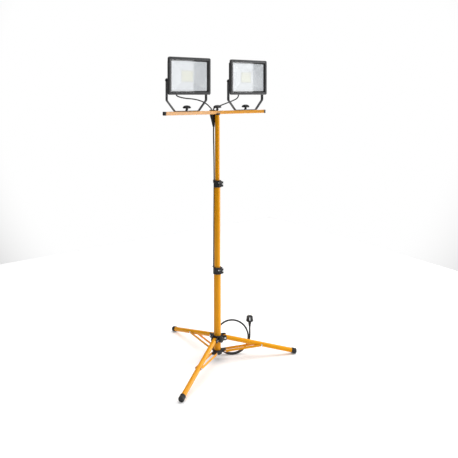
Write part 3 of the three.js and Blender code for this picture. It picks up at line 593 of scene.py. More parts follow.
# ---- solids, in millimetres ----
class Part:
    """One closed solid that can be rounded, turned and moved."""

    def __init__(self, points, faces):
        self.bm = bmesh.new()
        made = [self.bm.verts.new(point) for point in points]
        for face in faces:
            self.bm.faces.new([made[k] for k in face])
        bmesh.ops.recalc_face_normals(self.bm, faces=self.bm.faces[:])

    def rounded(self, width, steps=2, angle=30.0):
        sharp = [e for e in self.bm.edges if e.is_manifold and e.calc_face_angle(0.0) > math.radians(angle)]
        bmesh.ops.bevel(
            self.bm, geom=sharp, offset=width, segments=steps, profile=0.5, affect="EDGES",
            clamp_overlap=True,
        )
        return self

    def turned(self, axis, degrees, about=(0, 0, 0)):
        turn = Matrix.Rotation(math.radians(degrees), 4, axis)
        at = Matrix.Translation(about)
        bmesh.ops.transform(self.bm, matrix=at @ turn @ at.inverted(), verts=self.bm.verts[:])
        return self

    def moved(self, x, y, z):
        bmesh.ops.translate(self.bm, vec=(x, y, z), verts=self.bm.verts[:])
        return self

    def mirrored(self):
        """Mirrors the solid across the plane x = 0."""
        for vert in self.bm.verts:
            vert.co.x = -vert.co.x
        bmesh.ops.reverse_faces(self.bm, faces=self.bm.faces[:])
        return self


def loft(rings, loop=False):
    """A solid through rings of equally many points: closed on itself, or capped at both ends."""
    count = len(rings[0])
    points = [point for ring in rings for point in ring]
    faces = []
    pairs = len(rings) if loop else len(rings) - 1
    for i in range(pairs):
        a, b = i * count, ((i + 1) % len(rings)) * count
        for k in range(count):
            n = (k + 1) % count
            faces.append((a + k, a + n, b + n, b + k))
    if not loop:
        faces.append(tuple(range(count))[::-1])
        faces.append(tuple((len(rings) - 1) * count + k for k in range(count)))
    return Part(points, faces)


def circle(radius, z, segments):
    turns = [2 * math.pi * k / segments for k in range(segments)]
    return [(radius * math.cos(a), radius * math.sin(a), z) for a in turns]


def turned_shape(profile, segments=48, loop=False):
    """A solid turned about Z from (radius, z) pairs."""
    return loft([circle(max(radius, 0.02), z, segments) for radius, z in profile], loop)


def pipe(outer, inner, low, high, segments=56, lip=0.35):
    """A tube about Z with its edges broken."""
    return turned_shape(
        [
            (outer - lip, low),
            (outer, low + lip),
            (outer, high - lip),
            (outer - lip, high),
            (inner + lip, high),
            (inner, high - lip),
            (inner, low + lip),
            (inner + lip, low),
        ],
        segments,
        loop=True,
    )


def rod(radius, low, high, segments=32, lip=0.4):
    return turned_shape(
        [(radius - lip, low), (radius, low + lip), (radius, high - lip), (radius - lip, high)], segments
    )


def block(x0, x1, y0, y1, z0, z1, edge=0.8, steps=2):
    points = [(x, y, z) for x in (x0, x1) for y in (y0, y1) for z in (z0, z1)]
    faces = [(0, 1, 3, 2), (4, 6, 7, 5), (0, 4, 5, 1), (2, 3, 7, 6), (0, 2, 6, 4), (1, 5, 7, 3)]
    part = Part(points, faces)
    return part.rounded(edge, steps) if edge else part


def prism(outline, y0, y1, edge=0.0, steps=2):
    """An outline of (x, z) pairs carried along Y."""
    part = loft([[(x, y0, z) for x, z in outline], [(x, y1, z) for x, z in outline]])
    return part.rounded(edge, steps) if edge else part


def hexagon(across, low, high):
    radius = across / math.sqrt(3)
    outline = [
        (radius * math.cos(math.radians(60 * k)), radius * math.sin(math.radians(60 * k)))
        for k in range(6)
    ]
    return prism(outline, low, high, 0.35, 2).turned("X", 90)


def rounded_rectangle(width, height, corner, steps=6):
    corner = max(min(corner, width / 2 - 0.01, height / 2 - 0.01), 0.01)
    points = []
    for sx, sz, start in ((1, 1, 0), (-1, 1, 90), (-1, -1, 180), (1, -1, 270)):
        for k in range(steps + 1):
            a = math.radians(start + 90 * k / steps)
            points.append(
                (
                    sx * (width / 2 - corner) + corner * math.cos(a),
                    sz * (height / 2 - corner) + corner * math.sin(a),
                ),
            )
    return points


def lamp_ring(width, height, corner, y, steps=6):
    return [(x, y, LAMP_MID + z) for x, z in rounded_rectangle(width, height, corner, steps)]


def frames_along(path):
    """Two directions across a path at each point, carried along it without twisting."""
    tangents = []
    for k in range(len(path)):
        before, after = path[max(k - 1, 0)], path[min(k + 1, len(path) - 1)]
        tangents.append((after - before).normalized())
    side = tangents[0].orthogonal().normalized()
    frames = []
    for k, tangent in enumerate(tangents):
        if k:
            side = tangents[k - 1].rotation_difference(tangent) @ side
        side = (side - tangent * side.dot(tangent)).normalized()
        frames.append((side, tangent.cross(side)))
    return frames


def hose(path, radius, sides=16):
    """A round cable along a path, capped flat at both ends; radius is one number or one for each point."""
    radii = radius if isinstance(radius, (list, tuple)) else [radius] * len(path)
    rings = []
    frames = frames_along(path)
    for k, (point, (u, v)) in enumerate(zip(path, frames)):
        rings.append(
            [
                point + (
                    u * math.cos(2 * math.pi * s / sides) + v * math.sin(2 * math.pi * s / sides)
                ) * radii[k]
                for s in range(sides)
            ],
        )
    return loft(rings)


def smooth_route(points, spacing=5.0):
    """Points a fixed distance apart along a Catmull-Rom curve through the given ones."""
    points = [Vector(p) for p in points]
    dense = []
    for k in range(len(points) - 1):
        p0, p1, p2, p3 = points[max(k - 1, 0)], points[k], points[k + 1], points[min(k + 2, len(points) - 1)]
        for s in range(24):
            t = s / 24
            dense.append(
                0.5
                * (
                    2 * p1
                    + (p2 - p0) * t
                    + (2 * p0 - 5 * p1 + 4 * p2 - p3) * t**2
                    + (3 * p1 - p0 - 3 * p2 + p3) * t**3
                )
            )
    dense.append(points[-1])
    return respaced(dense, spacing)


def respaced(dense, spacing):
    total = sum((b - a).length for a, b in zip(dense, dense[1:]))
    count = max(4, round(total / spacing))
    step, out, walked, k = total / count, [dense[0]], 0.0, 0
    for target in (step * (n + 1) for n in range(count - 1)):
        while walked + (dense[k + 1] - dense[k]).length < target:
            walked += (dense[k + 1] - dense[k]).length
            k += 1
        share = (target - walked) / (dense[k + 1] - dense[k]).length
        out.append(dense[k].lerp(dense[k + 1], share))
    return [*out, dense[-1]]


def relaxed(path, rounds, held=3):
    """Evens out a path's bends, holding its ends."""
    for _ in range(rounds):
        path = [
            p if k < held or k >= len(path) - held else path[k - 1] * 0.25 + p * 0.5 + path[k + 1] * 0.25
            for k, p in enumerate(path)
        ]
    return path


def polar(radius, degrees, z):
    a = math.radians(degrees)
    return Vector((radius * math.cos(a), radius * math.sin(a), z))


def make_piece(name, parts, body=None, nodes=(), weighted=True):
    """Joins closed solids, each with its finish, into one piece in metres."""
    whole = bmesh.new()
    finishes = []
    for part, finish_name in parts:
        if finish_name not in finishes:
            finishes.append(finish_name)
        for face in part.bm.faces:
            face.material_index = finishes.index(finish_name)
            face.smooth = True
        for edge in part.bm.edges:
            edge.smooth = not (edge.is_manifold and edge.calc_face_angle(0.0) > math.radians(38.0))
        loose = bpy.data.meshes.new("loose")
        part.bm.to_mesh(loose)
        part.bm.free()
        whole.from_mesh(loose)
        bpy.data.meshes.remove(loose)
    bmesh.ops.scale(whole, vec=(MM, MM, MM), verts=whole.verts[:])
    mesh = bpy.data.meshes.new(name)
    whole.to_mesh(mesh)
    whole.free()
    for finish_name in finishes:
        mesh.materials.append(finish(finish_name))
    piece = bpy.data.objects.new(name, mesh)
    bpy.context.scene.collection.objects.link(piece)
    if weighted:
        shading = piece.modifiers.new("Even shading", "WEIGHTED_NORMAL")
        shading.keep_sharp = True
    if body:
        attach(piece, body)
    if nodes:
        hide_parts(*nodes)
    return piece


# ---- shapes that several pieces share ----
def lobed_knob(radius, height, stem_r, stem_h, lobes):
    """A lobed mushroom knob on its stem, standing on z = 0, with a moulded ring in its top."""
    profile = [
        (stem_r * 1.30, 0.0, 0.0),
        (stem_r * 1.35, 0.8, 0.0),
        (stem_r * 1.20, stem_h * 0.35, 0.0),
        (stem_r * 1.02, stem_h * 0.8, 0.0),
        (stem_r * 1.15, stem_h * 0.97, 0.0),
        (radius * 0.62, stem_h, 0.3),
        (radius * 0.86, stem_h + height * 0.02, 0.8),
        (radius * 0.97, stem_h + height * 0.10, 1.0),
        (radius, stem_h + height * 0.22, 1.0),
        (radius * 0.985, stem_h + height * 0.38, 1.0),
        (radius * 0.91, stem_h + height * 0.56, 0.8),
        (radius * 0.76, stem_h + height * 0.74, 0.5),
        (radius * 0.56, stem_h + height * 0.88, 0.22),
        (radius * 0.40, stem_h + height * 0.945, 0.06),
        (radius * 0.36, stem_h + height * 0.925, 0.0),
        (radius * 0.33, stem_h + height * 0.955, 0.0),
        (radius * 0.16, stem_h + height * 0.995, 0.0),
        (0.02, stem_h + height, 0.0),
    ]
    segments = lobes * 14
    rings = []
    for r, z, share in profile:
        ring = []
        for k in range(segments):
            a = 2 * math.pi * k / segments
            dip = (0.5 - 0.5 * math.cos(lobes * a)) ** 2.2
            rr = r * (1 - 0.17 * share * dip)
            ring.append((rr * math.cos(a), rr * math.sin(a), z))
        rings.append(ring)
    return loft(rings)


def hex_bolt(length, shank, across, head, washer_r):
    """A bolt along Z with its grip centred on z = 0: head and washer above, washer and nut below."""
    half = length / 2
    return [
        rod(shank, -half - head - 1.6, half + 0.5, 20, 0.4),
        turned_shape(
            [
                (washer_r - 0.3, half), (washer_r, half + 0.3), (washer_r, half + 0.9),
                (washer_r - 0.3, half + 1.1), (shank, half + 1.1), (shank, half),
            ],
            32, loop=True,
        ),
        hexagon(across, half + 1.1, half + 1.1 + head),
        turned_shape(
            [
                (washer_r - 0.3, -half - 1.1), (washer_r, -half - 0.8), (washer_r, -half - 0.3),
                (washer_r - 0.3, -half), (shank, -half), (shank, -half - 1.1),
            ],
            32, loop=True,
        ),
        hexagon(across, -half - 1.1 - head, -half - 1.1),
    ]


def button_screw(radius, height, socket_r):
    """A domed screw head standing up from z = 0, with a hexagon socket sunk in it."""
    rings = []
    segments = 36
    for r, z in [
        (radius * 0.96, 0.0), (radius, height * 0.12), (radius * 0.97, height * 0.4),
        (radius * 0.83, height * 0.76), (radius * 0.62, height * 0.95), (socket_r * 1.12, height),
    ]:
        rings.append(circle(r, z, segments))
    for z in (height, height * 0.35):
        ring = []
        for k in range(segments):
            a = 2 * math.pi * k / segments
            facet = math.cos(math.pi / 6) / math.cos((a % (math.pi / 3)) - math.pi / 6)
            ring.append((socket_r * facet * math.cos(a), socket_r * facet * math.sin(a), z))
        rings.append(ring)
    return loft(rings)


def flange_screw(radius):
    """A small pan-head screw."""
    return turned_shape(
        [
            (radius * 0.98, 0.0), (radius, radius * 0.25), (radius * 0.8, radius * 0.6),
            (radius * 0.35, radius * 0.75), (0.02, radius * 0.76),
        ],
        28,
    )


def finished(name, parts):
    """Solids that share one finish."""
    return [(part, name) for part in parts]


def cable(name, route, radius, sides, body=None, nodes=()):
    """A cable piece in the black sheath."""
    parts = [(hose(route, radius, sides), "cable_sheath")]
    return make_piece(name, parts, body, nodes, weighted=False)


# ---- the pieces ----
class Builder:
    """What every operator of this file has in common."""

    bl_options = {"REGISTER", "UNDO"}

    def execute(self, context):
        self.sizes = context.scene.worklight_sizes
        self.build(context)
        return {"FINISHED"}


CAMERA_AT = (-1.6862, -2.4850, 1.503)
CAMERA_YAW = -35.42
CAMERA_LENS = 41.64
CAMERA_SHIFT_Y = -0.295


class WORKLIGHT_OT_stage(Builder, bpy.types.Operator):
    """Camera, pale floor and soft studio lights"""

    bl_idname = "worklight.stage"
    bl_label = "Studio"

    def build(self, context):
        scene = context.scene
        scene.view_settings.view_transform = "Standard"
        lens = bpy.data.cameras.new("studio_camera")
        lens.lens, lens.sensor_width = CAMERA_LENS, 36.0
        lens.shift_y = CAMERA_SHIFT_Y
        lens.clip_end = 100.0
        camera = bpy.data.objects.new("studio_camera", lens)
        camera.location = CAMERA_AT
        camera.rotation_euler = (math.radians(90.0), 0.0, math.radians(CAMERA_YAW))
        scene.collection.objects.link(camera)
        scene.camera = camera
        self.floor()
        self.world(scene)
        self.lights(scene)

    def floor(self):
        half = self.sizes.floor_size / 2 / MM
        slab = block(-half, half, -half, half, -30.0, 0.0, edge=10.0)
        slab.moved(0, 0, -0.15)
        floor = make_piece("studio_floor", [(slab, "studio_floor")])

    def world(self, scene):
        """A pale surround: white ahead of the camera, dimmer behind the camera and at its left."""
        world = scene.world or bpy.data.worlds.new("studio")
        scene.world = world
        graph = Graph(world)
        yaw = math.radians(CAMERA_YAW)
        ahead = (-math.sin(yaw), math.cos(yaw), 0.0)
        aside = (math.cos(yaw), math.sin(yaw), 0.0)
        look = graph.node("ShaderNodeTexCoord", output="Generated")
        facing = [
            graph.node(
                "ShaderNodeVectorMath", {"operation": "DOT_PRODUCT"}, {0: look, 1: direction},
                output="Value",
            )
            for direction in (ahead, aside, (0.0, 0.0, 1.0))
        ]
        white = graph.ramp(facing[0], 0.80, 0.92)
        overhead = graph.ramp(facing[2], 0.55, 0.80)
        right = graph.ramp(facing[1], -0.1, 0.8) * graph.ramp(facing[0], -0.15, 0.15)
        glow = white + overhead * 0.5 + (1.0 - white) * (right * 0.6 + 0.10)
        sky = graph.node("ShaderNodeBackground", inputs={"Color": (1.0, 1.0, 1.0, 1.0), "Strength": glow})
        graph.end("ShaderNodeOutputWorld", sky)

    def lights(self, scene):
        cards = [
            ("card_front", (0.58, -3.0, 1.4), (2.14, 1.8), 19.0, (0.58, 0.0, 1.4)),
            ("card_front_low", (1.83, -3.0, 0.96), (0.36, 0.92), 1.7, (1.83, 0.0, 0.96)),
            ("card_front_high", (2.28, -3.0, 1.88), (0.54, 0.84), 2.3, (2.28, 0.0, 1.88)),
            ("card_side", (2.9, -1.1, 1.2), (1.2, 2.4), 78.0, (0.0, 0.0, 1.0)),
            ("card_top", (0.3, 0.6, 5.0), (5.0, 5.0), 165.0, (0.3, 0.6, 0.0)),
        ]
        for name, at, size, power, target in cards:
            light = bpy.data.lights.new(name, "AREA")
            light.shape, light.size, light.size_y, light.energy = "RECTANGLE", size[0], size[1], power
            lamp = bpy.data.objects.new(name, light)
            lamp.location = at
            lamp.rotation_euler = (Vector(target) - Vector(at)).to_track_quat("-Z", "Y").to_euler()
            scene.collection.objects.link(lamp)


COIL_ANGLE = math.radians(-30)
COIL_U = Vector((math.cos(COIL_ANGLE), math.sin(COIL_ANGLE), 0))
COIL_N = Vector((-COIL_U.y, COIL_U.x, 0))
COIL_CENTRE_R = 90.0
COIL_HALF_W = 94.0
COIL_HALF_H = 90.8
COIL_CENTRE_Z = 95.9
COIL_ASIDE = 46.0
COIL_LEAN_OUT, COIL_LEAN_UP = 30.0, 195.0
COIL_DEGREES = 540
PLUG_R = 194.0
PLUG_Z = 144.0


def coil_point(r, z, aside=0.0):
    """A point on the leaning plane of the coil: r outwards, z up, and aside from the plane."""
    flat = COIL_U * r + COIL_N * (COIL_ASIDE + COIL_LEAN_OUT * z / COIL_LEAN_UP + aside)
    return Vector((flat.x, flat.y, z))


def eased(t):
    t = min(max(t, 0.0), 1.0)
    return t * t * (3 - 2 * t)


def cord_route(strand):
    """The mains cord's centreline: down from its guide, one and a half turns, and up to the plug."""
    start = polar(EXIT_R, EXIT_ANGLE, EXIT_Z + 3.7)
    entry = coil_point(COIL_CENTRE_R - COIL_HALF_W, COIL_CENTRE_Z + 46, -strand)
    points = [start, Vector((start.x, start.y, EXIT_Z - 12)), Vector((start.x, start.y, EXIT_Z - 30))]
    for share, z in ((0.22, 400), (0.55, 320), (0.82, 240), (0.96, 190)):
        points.append(
            Vector((start.x + share * (entry.x - start.x), start.y + share * (entry.y - start.y), z))
        )
    points.append(entry)
    for degrees in range(0, COIL_DEGREES + 1, 12):
        a = math.radians(degrees)
        aside = strand * (2 * eased((degrees - 180) / 160) - 1)
        out = 10.0 * eased((degrees - 465) / 75)
        r = COIL_CENTRE_R - COIL_HALF_W * math.cos(a) + out
        points.append(coil_point(r, COIL_CENTRE_Z - COIL_HALF_H * math.sin(a), aside))
    plug = coil_point(PLUG_R, PLUG_Z)
    points += [
        coil_point(PLUG_R, PLUG_Z - 38, strand * 0.6),
        coil_point(PLUG_R, PLUG_Z - 26, strand * 0.25),
        Vector((plug.x, plug.y, PLUG_Z - 13)),
        Vector((plug.x, plug.y, PLUG_Z - 7)),
        Vector((plug.x, plug.y, PLUG_Z - 0.2)),
    ]
    return relaxed(smooth_route(points, 5.0), 6)


class WORKLIGHT_OT_free_cord(Builder, bpy.types.Operator):
    """Mains cord with its coil and its moulded plug"""

    bl_idname = "worklight.free_cord"
    bl_label = "Mains cord and plug"

    def build(self, context):
        diameter = self.sizes.cord_diameter
        radius = diameter / MM / 2
        route = cord_route(radius + self.sizes.cord_strand_gap / MM / 2)
        length = sum((b - a).length for a, b in zip(route, route[1:])) * MM
        nodes = ["cord_drop", "cord_coil", "cord_plug_lead"]
        cord = cable("mains_cord", route, radius, 20, "tripod_base", nodes)
        plug = self.plug()
        tuple(route[0] * MM)
        [tuple(p * MM) for p in route]

    def plug(self):
        relief = [
            (5.0, 0.0), (5.3, 0.6), (5.6, 4.0), (6.2, 10.0), (6.8, 15.0), (8.3, 20.0), (8.9, 27.0),
            (9.6, 34.0), (10.6, 36.4),
        ]
        ribbed = [relief[0]]
        for (r0, z0), (r1, z1) in zip(relief, relief[1:]):
            if z1 <= 20.0 and z0 >= 0.6:
                m = (z0 + z1) / 2
                rm = (r0 + r1) / 2
                ribbed += [(rm, m - 0.9), (rm - 0.9, m - 0.6), (rm - 0.9, m + 0.6), (rm + 0.1, m + 0.9)]
            ribbed.append((r1, z1))
        sleeve = turned_shape(ribbed, 40)
        flange = turned_shape(
            [(17.0, 35.6), (20.2, 36.2), (21.0, 37.2), (21.0, 43.0), (20.4, 43.9), (18.0, 44.3)], 56
        )
        body = turned_shape(
            [
                (18.5, 43.6), (18.5, 56.0), (18.2, 61.6), (17.2, 63.0), (16.0, 63.0), (15.4, 61.8),
                (5.0, 61.6),
            ],
            56,
        )
        grips = []
        for k in range(10):
            a = 36.0 * k
            if abs(math.sin(math.radians(a))) > 0.9:
                continue
            grips.append(block(17.9, 19.4, -1.3, 1.3, 46.0, 55.0, 0.5).turned("Z", a))
        strips = [
            block(-3.4, 3.4, 17.9, 19.3, 45.5, 62.6, 0.4), block(-3.4, 3.4, -19.3, -17.9, 45.5, 62.6, 0.4)
        ]
        pins = []
        for x in (-9.5, 9.5):
            pins.append(
                turned_shape(
                    [(2.4, 61.0), (2.4, 80.2), (1.9, 81.6), (1.0, 82.0), (0.02, 82.0)], 24
                ).moved(x, 0, 0),
            )
            pins.append(
                turned_shape([(2.9, 61.0), (2.9, 65.0), (2.5, 65.6), (0.02, 65.6)], 24).moved(x, 0, 0)
            )
        parts = finished("moulded_nylon", [sleeve, flange, body, *grips])
        parts += finished("zinc_steel", strips)
        parts += [
            (pins[0], "nickel_pin"), (pins[1], "moulded_nylon"), (pins[2], "nickel_pin"),
            (pins[3], "moulded_nylon"),
        ]
        at = coil_point(PLUG_R, PLUG_Z)
        for part, _ in parts:
            part.turned("Z", -36.0).moved(*at)
        return make_piece("mains_plug_moulded", parts, "tripod_base", ["mains_plug"])


class WORKLIGHT_OT_mast_cable(Builder, bpy.types.Operator):
    """Cable that runs down beside the mast, through the guides on the collars"""

    bl_idname = "worklight.mast_cable"
    bl_label = "Mast cable"

    def build(self, context):
        top = Vector((-UPPER_R - 0.5, UPPER_R + 3, JUNCTION_LOW[2] - 0.1))
        upper = polar(UPPER_GUIDE[0], GUIDE_ANGLE, UPPER_GUIDE[1])
        lower = polar(LOWER_GUIDE[0], GUIDE_ANGLE, LOWER_GUIDE[1])
        above = smooth_route(
            [
                top,
                top + Vector((-1, -0.3, -40)),
                Vector(((top.x + upper.x) / 2, (top.y + upper.y) / 2, (top.z + upper.z) / 2)),
                upper + Vector((0, 0, 30)),
                upper,
            ],
            8.0,
        )
        between = smooth_route(
            [
                upper - Vector((0, 0, 0.7)),
                upper - Vector((0, 0, 30)),
                (upper + lower) / 2,
                lower + Vector((0, 0, 30)),
                lower,
            ],
            8.0,
        )
        wrap = [lower - Vector((0, 0, dz)) for dz in (0.2, 4, 7)]
        for k in range(1, 7):
            t = k / 7
            angle = GUIDE_ANGLE + t * (EXIT_ANGLE - GUIDE_ANGLE)
            radius = LOWER_GUIDE[0] + 0.8 + t * (EXIT_R - LOWER_GUIDE[0] - 0.8)
            wrap.append(polar(radius, angle, LOWER_GUIDE[1] - 10 - t * 5))
        wrap += [polar(EXIT_R, EXIT_ANGLE, EXIT_Z + dz) for dz in (13, 8, 3.9)]
        pieces = []
        for name, route, body, node in (
            ("mast_cable_above", above, "mast_middle", "mast_cable_upper"),
            ("mast_cable_between", between, "tripod_base", "mast_cable_middle"),
            ("mast_cable_wrapped", smooth_route(wrap, 3.0), "tripod_base", "mast_cable_lower"),
        ):
            pieces.append(cable(name, route, MAST_CABLE_R, 16, body, [node]))
        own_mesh(pieces[0])
        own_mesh(pieces[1])


class WORKLIGHT_OT_lamp_leads(Builder, bpy.types.Operator):
    """Two leads from the lamps' glands to the junction behind the crossbar"""

    bl_idname = "worklight.lamp_leads"
    bl_label = "Lamp leads"

    def build(self, context):
        lead_top = PIVOT_Z - 46.0
        left_x, right_x = -LAMP_X + GLAND_DX, LAMP_X + GLAND_DX
        top = JUNCTION_HIGH[2]
        routes = {
            "left": [
                (left_x, GLAND_Y, lead_top), (left_x, GLAND_Y, lead_top - 10),
                (left_x, GLAND_Y, lead_top - 16), (left_x - 9, 20, 1504), (left_x - 6, 21, 1493),
                (left_x + 16, 22, 1485), (-197, 23, 1479), (-157, 23, 1475.5), (-120, 24, 1470),
                (-81, 25, 1458.5), (-52, 25, 1443), (-31, 24, 1424), (-26, 23.5, top + 6),
                (-26, 23.5, top + 0.1),
            ],
            "right": [
                (right_x, GLAND_Y, lead_top), (right_x, GLAND_Y, lead_top - 10),
                (right_x, GLAND_Y, lead_top - 16), (right_x + 8, 21, 1502), (right_x + 9, 22, 1490),
                (right_x - 2, 23, 1476), (127, 25, 1464), (101, 27, 1455), (61, 30, 1442), (28, 32, 1431),
                (4, 30, 1424), (-9, 26, top + 5), (-10, 25, top + 2.5), (-10, 25, top + 0.1),
            ],
        }
        for name, points in routes.items():
            route = relaxed(smooth_route(points, 4.0), 2)
            split = next(k for k, p in enumerate(route) if p.z < 1487)
            near = next(k for k, p in enumerate(route) if abs(p.x) < 80)
            body = name + "_bracket"
            nodes = [name + "_lamp_lead"]
            upper = cable(name + "_lead_at_gland", route[: split + 1], LEAD_R, 16, nodes=nodes)
            lower = cable(name + "_lead_to_junction", route[split:], LEAD_R, 16, nodes=nodes)
            name + "_lamp"
            tuple(route[3] * MM)
            tuple(route[split] * MM)
            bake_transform(upper)
            tuple(route[split] * MM)
            tuple(route[near] * MM)
            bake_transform(lower)


class WORKLIGHT_OT_mast_tubes(Builder, bpy.types.Operator):
    """Three telescopic tubes and the insert in the mast's top"""

    bl_idname = "worklight.mast_tubes"
    bl_label = "Mast tubes"

    def build(self, context):
        for name, node, radius, body in (
            ("lower_tube", "mast_lower_tube", LOWER_R, "tripod_base"),
            ("middle_tube", "mast_middle_tube", MIDDLE_R, "mast_middle"),
            ("upper_tube", "mast_upper_tube", UPPER_R, "mast_head"),
        ):
            low, high = span(node)
            parts = [(pipe(radius, radius - TUBE_WALL, low[2], high[2]), "tube_paint")]
            make_piece(name, parts, body, [node])
        low, high = span("mast_top_plug")
        flange_z = high[2] - 9.0
        flange = UPPER_R + 1.7
        insert = turned_shape(
            [
                (UPPER_R - TUBE_WALL - 0.6, low[2]), (UPPER_R - TUBE_WALL - 0.3, low[2] + 1),
                (UPPER_R - TUBE_WALL - 0.3, flange_z + 0.1), (flange - 0.6, flange_z + 0.1),
                (flange, flange_z + 0.7), (flange, flange_z + 2.4), (flange - 0.6, flange_z + 3.0),
            ],
            48,
        )
        lips = [
            block(
                -11, 11, s * (BAR_SIZE / 2 + 1.35) - 1.05, s * (BAR_SIZE / 2 + 1.35) + 1.05, flange_z + 1.0,
                flange_z + 8.9, 0.5,
            )
            for s in (-1, 1)
        ]
        ribs = [
            block(
                -1.2, 1.2, min(s * 10.4, s * 13.4), max(s * 10.4, s * 13.4), flange_z + 1.0, flange_z + 6.0,
                0.4,
            ).moved(x, 0, 0)
            for s in (-1, 1)
            for x in (-6, 6)
        ]
        make_piece(
            "mast_top_insert", finished("moulded_nylon", [insert, *lips, *ribs]), "mast_head",
            ["mast_top_plug"],
        )
        screw = flange_screw(3.4).turned("Y", 90).moved(UPPER_R - 0.3, 0, 0)
        screw.turned("Z", -62.0).moved(0, 0, flange_z - 12.0)
        make_piece("mast_top_screw", [(screw, "zinc_steel")], "mast_head")


class WORKLIGHT_OT_collars(Builder, bpy.types.Operator):
    """Clamp collars of the mast with their flip levers, pins and cable guides"""

    bl_idname = "worklight.collars"
    bl_label = "Mast collars"

    def build(self, context):
        self.collar(
            "lower", LOWER_COLLAR_Z, LOWER_COLLAR_H, LOWER_R, MIDDLE_R, "tripod_base", "lower_lever",
            [
                (LOWER_GUIDE[0], GUIDE_ANGLE, LOWER_GUIDE[1] - 4, LOWER_GUIDE[1] + 4, MAST_CABLE_R + 0.4),
                (EXIT_R, EXIT_ANGLE, EXIT_Z, EXIT_Z + 7, CORD_R + 0.4),
            ],
        )
        self.collar(
            "upper", UPPER_COLLAR_Z, UPPER_COLLAR_H, MIDDLE_R, UPPER_R, "mast_middle", "upper_lever",
            [(UPPER_GUIDE[0], GUIDE_ANGLE, UPPER_GUIDE[1] - 8, UPPER_GUIDE[1] + 8, MAST_CABLE_R + 0.4)],
        )

    def collar(self, name, z0, height, r_lower, r_upper, body, lever_body, guides):
        z1, mid = z0 + height, z0 + height / 2
        out = r_lower + COLLAR_WALL
        shell = turned_shape(
            [
                (out - 0.9, z0), (out, z0 + 0.9), (out, z0 + 3.4), (out - 1.0, z0 + 4.2),
                (out - 1.0, z1 - 6.2), (out, z1 - 5.4), (out, z1 - 1.6), (out - 1.6, z1),
                (r_upper + 0.9, z1), (r_upper + 0.3, z1 - 0.6), (r_upper + 0.3, mid), (r_lower + 0.3, mid),
                (r_lower + 0.3, z0 + 0.6), (r_lower + 0.9, z0),
            ],
            64, loop=True,
        )
        parts = [shell]
        for side in (-1, 1):
            x0, x1 = sorted((side * 1.2, side * 8.0))
            parts.append(block(x0, x1, -out - 8.9, -out + 1.4, z0 + 2.2, z1 - 2.2, 1.3, 3))
        for k in range(7):
            a = -8.0 + k * 22.0 + 35
            if any(abs((a - g[1] + 180) % 360 - 180) < 18 for g in guides):
                continue
            parts.append(block(out - 1.6, out - 0.15, -1.1, 1.1, z0 + 4.0, z1 - 6.0, 0.4).turned("Z", a))
        pin_y = -out - 4.5
        parts.append(block(7.0, 15.5, pin_y - 2.5, pin_y + 2.5, mid - 3.9, mid + 3.9, 0.6))
        for radius, angle, g0, g1, hole in guides:
            ring = turned_shape(
                [
                    (hole + 1.8, g0), (hole + 2.3, g0 + 0.5), (hole + 2.3, g1 - 0.5), (hole + 1.8, g1),
                    (hole + 0.5, g1), (hole, g1 - 0.5), (hole, g0 + 0.5), (hole + 0.5, g0),
                ],
                32, loop=True,
            )
            parts.append(ring.moved(radius, 0, 0).turned("Z", angle))
            parts.append(
                block(out - 1.5, radius - hole - 0.3, -2.6, 2.6, g0 + 0.4, g1 - 0.4, 0.5).turned("Z", angle)
            )
        pieces = finished("moulded_nylon", parts)
        pieces.append((rod(3.0, z0 + 4.2, z1 - 4.2, 24).moved(15.5, pin_y, 0), "zinc_steel"))
        bolt = rod(2.2, -10.4, 10.4, 20).turned("Y", 90).moved(0, pin_y - 1.0, mid + 8.0)
        nut = hexagon(7.0, -11.6, -8.0).turned("Y", 90).moved(0, pin_y - 1.0, mid + 8.0)
        pieces += [(bolt, "zinc_steel"), (nut, "zinc_steel")]
        make_piece(name + "_clamp_collar", pieces, body, [name + "_collar"])

        r0, r1 = out + 2.7, out + 6.1
        low, high = z0 + 5.1, z1 - 5.1
        rings = []
        for k in range(15):
            a = math.radians(-50.0 + 62.0 * k / 14)
            thick = 1.0 if k < 11 else 1.0 - 0.35 * ((k - 10) / 4) ** 2
            grip = 0.5 * math.cos(k * math.pi) if 7 <= k <= 13 else 0.0
            inner, outer_r = r0, r0 + (r1 - r0) * thick + grip * 0.4
            dz = 0.0 if k < 12 else 1.2 * (k - 11)
            ring = []
            for r, z in (
                (inner, low + dz + 1), (inner + 1, low + dz), (outer_r - 1, low + dz),
                (outer_r, low + dz + 1), (outer_r, high - dz - 1), (outer_r - 1, high - dz),
                (inner + 1, high - dz), (inner, high - dz - 1),
            ):
                ring.append((r * math.cos(a), r * math.sin(a), z))
            rings.append(ring)
        blade = loft(rings)
        a = math.radians(-50.0) + 0.12
        arm = []
        for z in (low, high):
            arm.append(
                [
                    (16.4, pin_y + 5.0, z), (20.6, pin_y - 2.6, z), (r1 * math.cos(a), r1 * math.sin(a), z),
                    (r0 * math.cos(a), r0 * math.sin(a), z),
                ],
            )
        bridge = loft(arm).rounded(0.6)
        knuckles = []
        for k0, k1 in ((low, mid - 4.7), (mid + 4.7, high)):
            knuckles.append(
                turned_shape(
                    [
                        (5.9, k0), (6.5, k0 + 0.6), (6.5, k1 - 0.6), (5.9, k1), (3.8, k1), (3.35, k1 - 0.5),
                        (3.35, k0 + 0.5), (3.8, k0),
                    ],
                    36, loop=True,
                ).moved(15.5, pin_y, 0),
            )
        make_piece(
            name + "_flip_lever", finished("moulded_nylon", [blade, bridge, *knuckles]), lever_body,
            [name + "_collar_lever"],
        )


